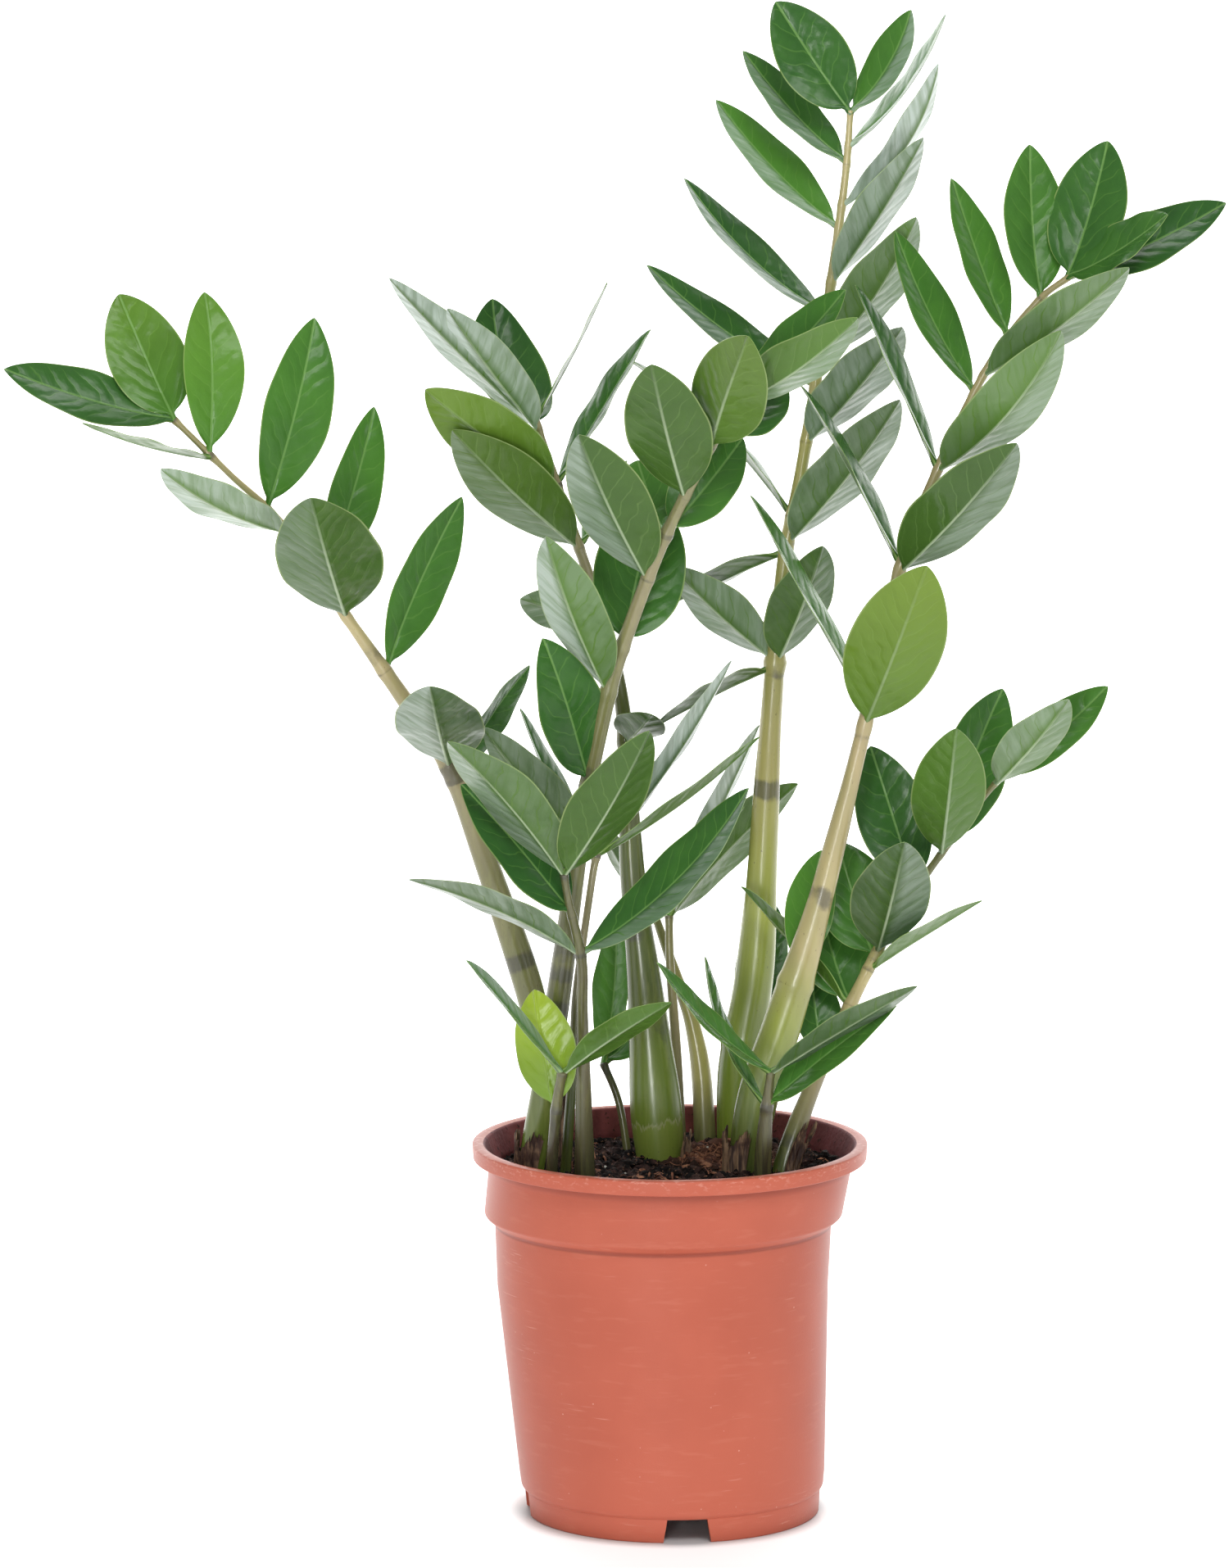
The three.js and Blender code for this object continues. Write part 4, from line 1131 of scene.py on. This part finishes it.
def painted_sheen_over(add, tint, off, run, tone, vein):
    """The tint paled towards silver by the leaflet's painted sheen, in streaks that follow the side
    veins: noise that changes quickly with (run - off) and slowly with off."""
    sheen_paint = add("ShaderNodeAttribute", attribute_name="sheen_paint").node.outputs["Fac"]
    across_veins = times(add, maths(add, "SUBTRACT", run, off), 0.24)
    place = add("ShaderNodeCombineXYZ", {
        0: across_veins, 1: times(add, off, 0.05), 2: times(add, tone, 40.0),
    })
    noise = add("ShaderNodeTexNoise", {"Vector": place, "Scale": 1.0, "Detail": 3.0})
    streaks = plus(add, times(add, between(add, noise, 0.32, 0.66), 0.45), 0.5)
    share = maths(add, "SUBTRACT", times(add, sheen_paint, streaks), times(add, vein, 0.15), True)
    return laid_over(add, tint, (0.56, 0.64, 0.59), share)


def leaf_relief(add, off, vein, pillow, rib_height):
    """Height in mm of the fine relief: pillows between the side veins, a broad buckle, fine
    grain, the veins and the midrib."""
    height = times(add, pillow, 0.16)
    height = plus(add, height, times(add, object_noise(add, 75.0, 2.0), 1.1))
    height = plus(add, height, times(add, object_noise(add, 700.0, 3.0), 0.05))
    height = plus(add, height, times(add, vein, rib_height * 0.12))
    return plus(add, height, times(add, between(add, off, 1.1, 0.1), rib_height))


def leaf_green(add, readings, mottle_scale, greens, veined, youth):
    """The green of one side, from the darker to the lighter of two greens by tone and mottle,
    with side veins (a colour and a strength), and yellower (base and tip colour) if young."""
    margin, along, off, tone, young, run = readings
    mottle = object_noise(add, mottle_scale, 5.0)
    depth = plus(add, times(add, tone, 0.65), times(add, mottle, 0.5))
    tint = mixed(add, between(add, depth, 0.1, 1.0), *greens)
    vein, pillow = side_veins(add, off, run, margin)
    tint = laid_over(add, tint, veined[0], vein, veined[1])
    return mixed(add, young, tint, mixed(add, along, *youth)), vein, pillow


def leaf_top():
    """Deep waxy green, mottled, with a thin pale midrib, fine pale side veins and a thin light
    margin; yellower on a young leaflet."""
    material, add = shader_graph("leaflet top")
    readings = margin, _, off, tone, _, run = leaf_places(add)
    tint, vein, pillow = leaf_green(
        add, readings, 55.0, [(0.026, 0.092, 0.020), (0.078, 0.225, 0.030)],
        [(0.15, 0.32, 0.06), 0.28], [(0.13, 0.30, 0.02), (0.34, 0.50, 0.04)])
    tint = laid_over(add, tint, (0.19, 0.36, 0.10), between(add, off, 0.7, 0.25), 0.6)
    tint = laid_over(add, tint, (0.30, 0.42, 0.13), between(add, margin, 0.955, 0.985), 0.6)
    # Painted sheen: chosen halves of chosen leaflets paled towards silver.
    tint = painted_sheen_over(add, tint, off, run, tone, vein)
    relief = leaf_relief(add, off, vein, pillow, -0.15)
    finish_surface(add, tint, 0.27, relief, MM, Specular_IOR_Level=0.24)
    return material


def leaf_under():
    """Olive green with a light raised midrib, painted partly as a highlight, faint side veins and a
    painted silvery sheen; yellower on a young leaflet, whose midrib stands out less."""
    material, add = shader_graph("leaflet underside")
    readings = margin, along, off, tone, young, run = leaf_places(add)
    tint, vein, pillow = leaf_green(
        add, readings, 60.0, [(0.042, 0.095, 0.016), (0.085, 0.180, 0.026)],
        [(0.20, 0.32, 0.10), 0.2], [(0.16, 0.29, 0.020), (0.31, 0.43, 0.03)])
    # Painted sheen: chosen halves of chosen leaflets paled towards silver.
    tint = painted_sheen_over(add, tint, off, run, tone, vein)
    # The pale midrib: partly its own light colour, partly a painted highlight, strongest at the
    # base.
    pale = times(add, between(add, off, 0.85, 0.25), between(add, along, 1.15, 0.2))
    pale = times(add, pale, maths(add, "SUBTRACT", 0.62, young, True))
    tint = laid_over(add, tint, (0.50, 0.60, 0.40), pale)
    tint = laid_over(add, tint, (0.30, 0.38, 0.15), between(add, margin, 0.955, 0.985), 0.6)
    relief = leaf_relief(add, off, vein, pillow, 0.25)
    finish_surface(add, tint, 0.28, relief, MM, Specular_IOR_Level=0.35)
    return material


def painted_sheen_share(place, side, left, right):
    """Each point's painted sheen: the share of its half, growing from nothing at the midrib. Which
    half is the left one as seen depends on the way the leaflet's side direction points."""
    positive, negative = (right, left) if side[0] > 0 else (left, right)
    growing = np.clip((np.abs(place[:, 0]) - 0.02) / 0.3, 0, 1)
    return np.where(place[:, 0] > 0, positive, negative) * growing


leaf_finishes = [leaf_top(), leaf_under()]
for frond in FRONDS:
    name, line = frond["name"], stalk_line(frond)
    youths, tones, painted_sheens = (table.get(name, {}) for table in (YOUNG_LEAFLETS, TONES, PAINTED_SHEEN))
    meshes, places, kinds, sheen_shares, finishes = [], [], [], [], []
    for number, leaflet in enumerate(frond["leaflets"]):
        points, faces, place, finish, length = leaflet_mesh(line, leaflet, plant_rng)
        tone = tones.get(number, plant_rng.uniform(0, 1))
        side = leaflet_frame(line, leaflet)[3]
        meshes.append((points, faces))
        places.append(place)
        finishes.append(finish)
        kinds.append(np.tile([tone, youths.get(number, 0.0), length], (len(points), 1)))
        sheen_shares.append(painted_sheen_share(place, side, *painted_sheens.get(number, (0.0, 0.0))))
    points, faces = joined(meshes)
    blades = make_piece(name + "_leaflets", points, faces, leaf_finishes, [name],
                        sharp=60.0)
    give_attribute(blades, "place", "FLOAT_VECTOR", np.vstack(places))
    give_attribute(blades, "kind", "FLOAT_VECTOR", np.vstack(kinds))
    # Each point's share of the painted sheen.
    give_attribute(blades, "sheen_paint", "FLOAT", np.concatenate(sheen_shares))
    blades.data.polygons.foreach_set("material_index", np.concatenate(finishes))


# ---- Dry sheaths ------------------------------------------------------------------------
# Thin brown papery leaf sheaths that dried and tore at the foot of some stalks: curved
# strips that stand just clear of the stalk, curled and ragged along the top.

# [node, stalk, middle bearing and half spread in degrees, top height]
SHEATHS = [
    ["sheath_left", "frond_leaning", 215, 75, 168],
    ["sheath_front", "frond_left", 275, 55, 190],
    ["sheath_middle", "frond_thick", 345, 26, 158],
    ["sheath_right", "frond_right", 220, 50, 166],
    ["sheath_low_right", "frond_low_right", 320, 50, 167],
]
SHEATH_THICKNESS = 0.5
SHEATH_COLUMNS, SHEATH_ROWS = 64, 16
SHEATH_GAP = 0.7
RIPPLE, CURL = 0.55, 1.6
TEARS = -2.4, 1.6


def sheath_mesh(frond, bearing, spread, top_height, rng):
    """A strip round part of a stalk: its reach from the stalk's line is a sine along the strip
    plus a curl that grows with the height cubed, and its top edge is one wave and a slope to
    either side, with random tears."""
    centre, radius, _ = stalk_line(frond)
    share = np.linspace(0, 1, SHEATH_COLUMNS)
    angle = np.radians(bearing - spread + 2 * spread * share)
    tears = rng.uniform(*TEARS, SHEATH_COLUMNS)
    top = top_height + 5 * np.sin(share * 9) - 6 * np.abs(share - 0.5) + tears
    bottom = SOIL_LEVEL - 1.0
    climb = np.linspace(0, 1, SHEATH_ROWS)[:, None]
    height = bottom + (top - bottom) * climb
    inner = radius[centre[:, 2] < top_height].max() * 1.06 + SHEATH_GAP
    ripple = RIPPLE * np.sin(share * 25 + rng.uniform(0, 6)) * (0.3 + climb)
    ripple = ripple + CURL * climb ** 3
    layers = []
    for out in (0.0, SHEATH_THICKNESS):
        reach = inner + ripple + out
        x = np.interp(height, centre[:, 2], centre[:, 0]) + np.cos(angle) * reach
        y = np.interp(height, centre[:, 2], centre[:, 1]) + np.sin(angle) * reach
        layers.append(np.stack([x, y, height], axis=-1))
    ring = np.concatenate([layers[1], layers[0][::-1]], axis=0)
    points = ring.transpose(1, 0, 2).reshape(-1, 3)
    return points, [face[::-1] for face in capped_tube_faces(SHEATH_COLUMNS, len(ring))]


def dry_papery_skin():
    """Brown papery skin: dark and tan upright fibres, and damp dark stains."""
    material, add = shader_graph("dry sheath skin")
    fibres = object_noise(add, 500.0, 4.0, (1.0, 1.0, 0.08))
    stain = object_noise(add, 90.0, 4.0)
    tint = mixed(add, between(add, fibres, 0.38, 0.64),
                 (0.040, 0.021, 0.015), (0.33, 0.205, 0.120))
    tint = laid_over(add, tint, (0.048, 0.021, 0.016), between(add, stain, 0.46, 0.62), 0.8)
    finish_surface(add, tint, 0.62, fibres, 0.0008)
    return material


dry_finish = dry_papery_skin()
for node, owner, bearing, spread, top_height in SHEATHS:
    frond = next(entry for entry in FRONDS if entry["name"] == owner)
    points, faces = sheath_mesh(frond, bearing, spread, top_height, plant_rng)
    make_piece(node + "_skin", points, faces, [dry_finish], [node], sharp=60.0)


# ---- Floor and light --------------------------------------------------------------------
# A white studio floor, which glows as painted light, in a white surround that is bright behind
# the plant, which puts pale edges on the leaflets, and dim on the viewer's side. A narrow upright
# light and a broad high one stand in front, and a soft one hangs behind the plant.

FLOOR_REACH = 30.0
FLOOR_GLOW = 0.55


def white_floor():
    """A large white floor that glows a little away from the pot as painted light, so that only the
    pot's contact shadow shows on it, and more far behind it; the glow fades out under and just
    beside the pot, which paints shade there on top of that shadow."""
    mesh = bpy.data.meshes.new("floor")
    corners = np.array([(-1, -1, 0), (1, -1, 0), (1, 1, 0), (-1, 1, 0)]) * FLOOR_REACH
    mesh.from_pydata(corners.tolist(), [], [(0, 1, 2, 3)])
    material, add = shader_graph("white floor")
    place = add("ShaderNodeTexCoord").node.outputs["Object"]
    away = add("ShaderNodeVectorMath", {0: place, 1: POT_AXIS * MM}, operation="DISTANCE")
    # Painted shadow: no glow under the pot, rising to the full glow just beside it.
    beside_pot = between(add, away.node.outputs["Value"], 0.062, 0.074)
    depth = add("ShaderNodeSeparateXYZ", {0: place}).node.outputs["Y"]
    glow = plus(add, times(add, beside_pot, FLOOR_GLOW), between(add, depth, 0.1, 1.0))
    finish_surface(add, (0.75, 0.75, 0.75, 1.0), 0.5, Specular_IOR_Level=0.2,
                   Emission_Color=(1.0, 1.0, 1.0, 1.0), Emission_Strength=glow)
    mesh.materials.append(material)
    floor = bpy.data.objects.new("floor", mesh)
    bpy.context.scene.collection.objects.link(floor)


def soft_light(name, place, aim, size, power):
    """A rectangular soft light at a place, turned to face its aim."""
    data = bpy.data.lights.new(name, "AREA")
    data.shape = "RECTANGLE"
    data.size, data.size_y = size
    data.energy = power
    light = bpy.data.objects.new(name, data)
    bpy.context.scene.collection.objects.link(light)
    light.location = place
    right, away, up = np.array(aim) - np.array(place)
    tilt = math.atan2(math.hypot(right, away), -up)
    light.rotation_euler = (tilt, 0, math.atan2(away, right) - math.pi / 2)


def white_surround():
    """A world that is plain white where the camera sees it and lights the plant by direction:
    its strength rises from the viewer's side (-Y) to the far side (+Y)."""
    world = bpy.data.worlds.new("white surround")
    world.use_nodes = True
    tree = world.node_tree
    tree.nodes.clear()
    direction = tree.nodes.new("ShaderNodeTexCoord")
    split = tree.nodes.new("ShaderNodeSeparateXYZ")
    rise = tree.nodes.new("ShaderNodeMapRange")
    rise.interpolation_type = "SMOOTHSTEP"
    limits = {"From Min": 0.4, "From Max": 0.95, "To Min": 0.33, "To Max": 2.5}
    for name, value in limits.items():
        rise.inputs[name].default_value = value
    seen = tree.nodes.new("ShaderNodeLightPath")
    strength = tree.nodes.new("ShaderNodeMix")
    strength.inputs[3].default_value = 1.0
    background = tree.nodes.new("ShaderNodeBackground")
    background.inputs["Color"].default_value = (1.0, 1.0, 1.0, 1.0)
    output = tree.nodes.new("ShaderNodeOutputWorld")
    tree.links.new(direction.outputs["Generated"], split.inputs[0])
    tree.links.new(split.outputs["Y"], rise.inputs["Value"])
    tree.links.new(seen.outputs["Is Camera Ray"], strength.inputs[0])
    tree.links.new(rise.outputs[0], strength.inputs[2])
    tree.links.new(strength.outputs[0], background.inputs["Strength"])
    tree.links.new(background.outputs[0], output.inputs["Surface"])
    return world


white_floor()
soft_light("front strip light", (-0.35, -2.4, 0.35), (0, 0, 0.35), (0.12, 0.8), 17)
soft_light("front light", (0.6, -2.1, 2.4), (0, 0, 0.3), (1.5, 1.0), 36)
soft_light("back top light", (0, 0.9, 2.0), (0, 0, 0.4), (1.6, 0.8), 14)
bpy.context.scene.world = white_surround()
bpy.context.scene.view_settings.view_transform = "Standard"
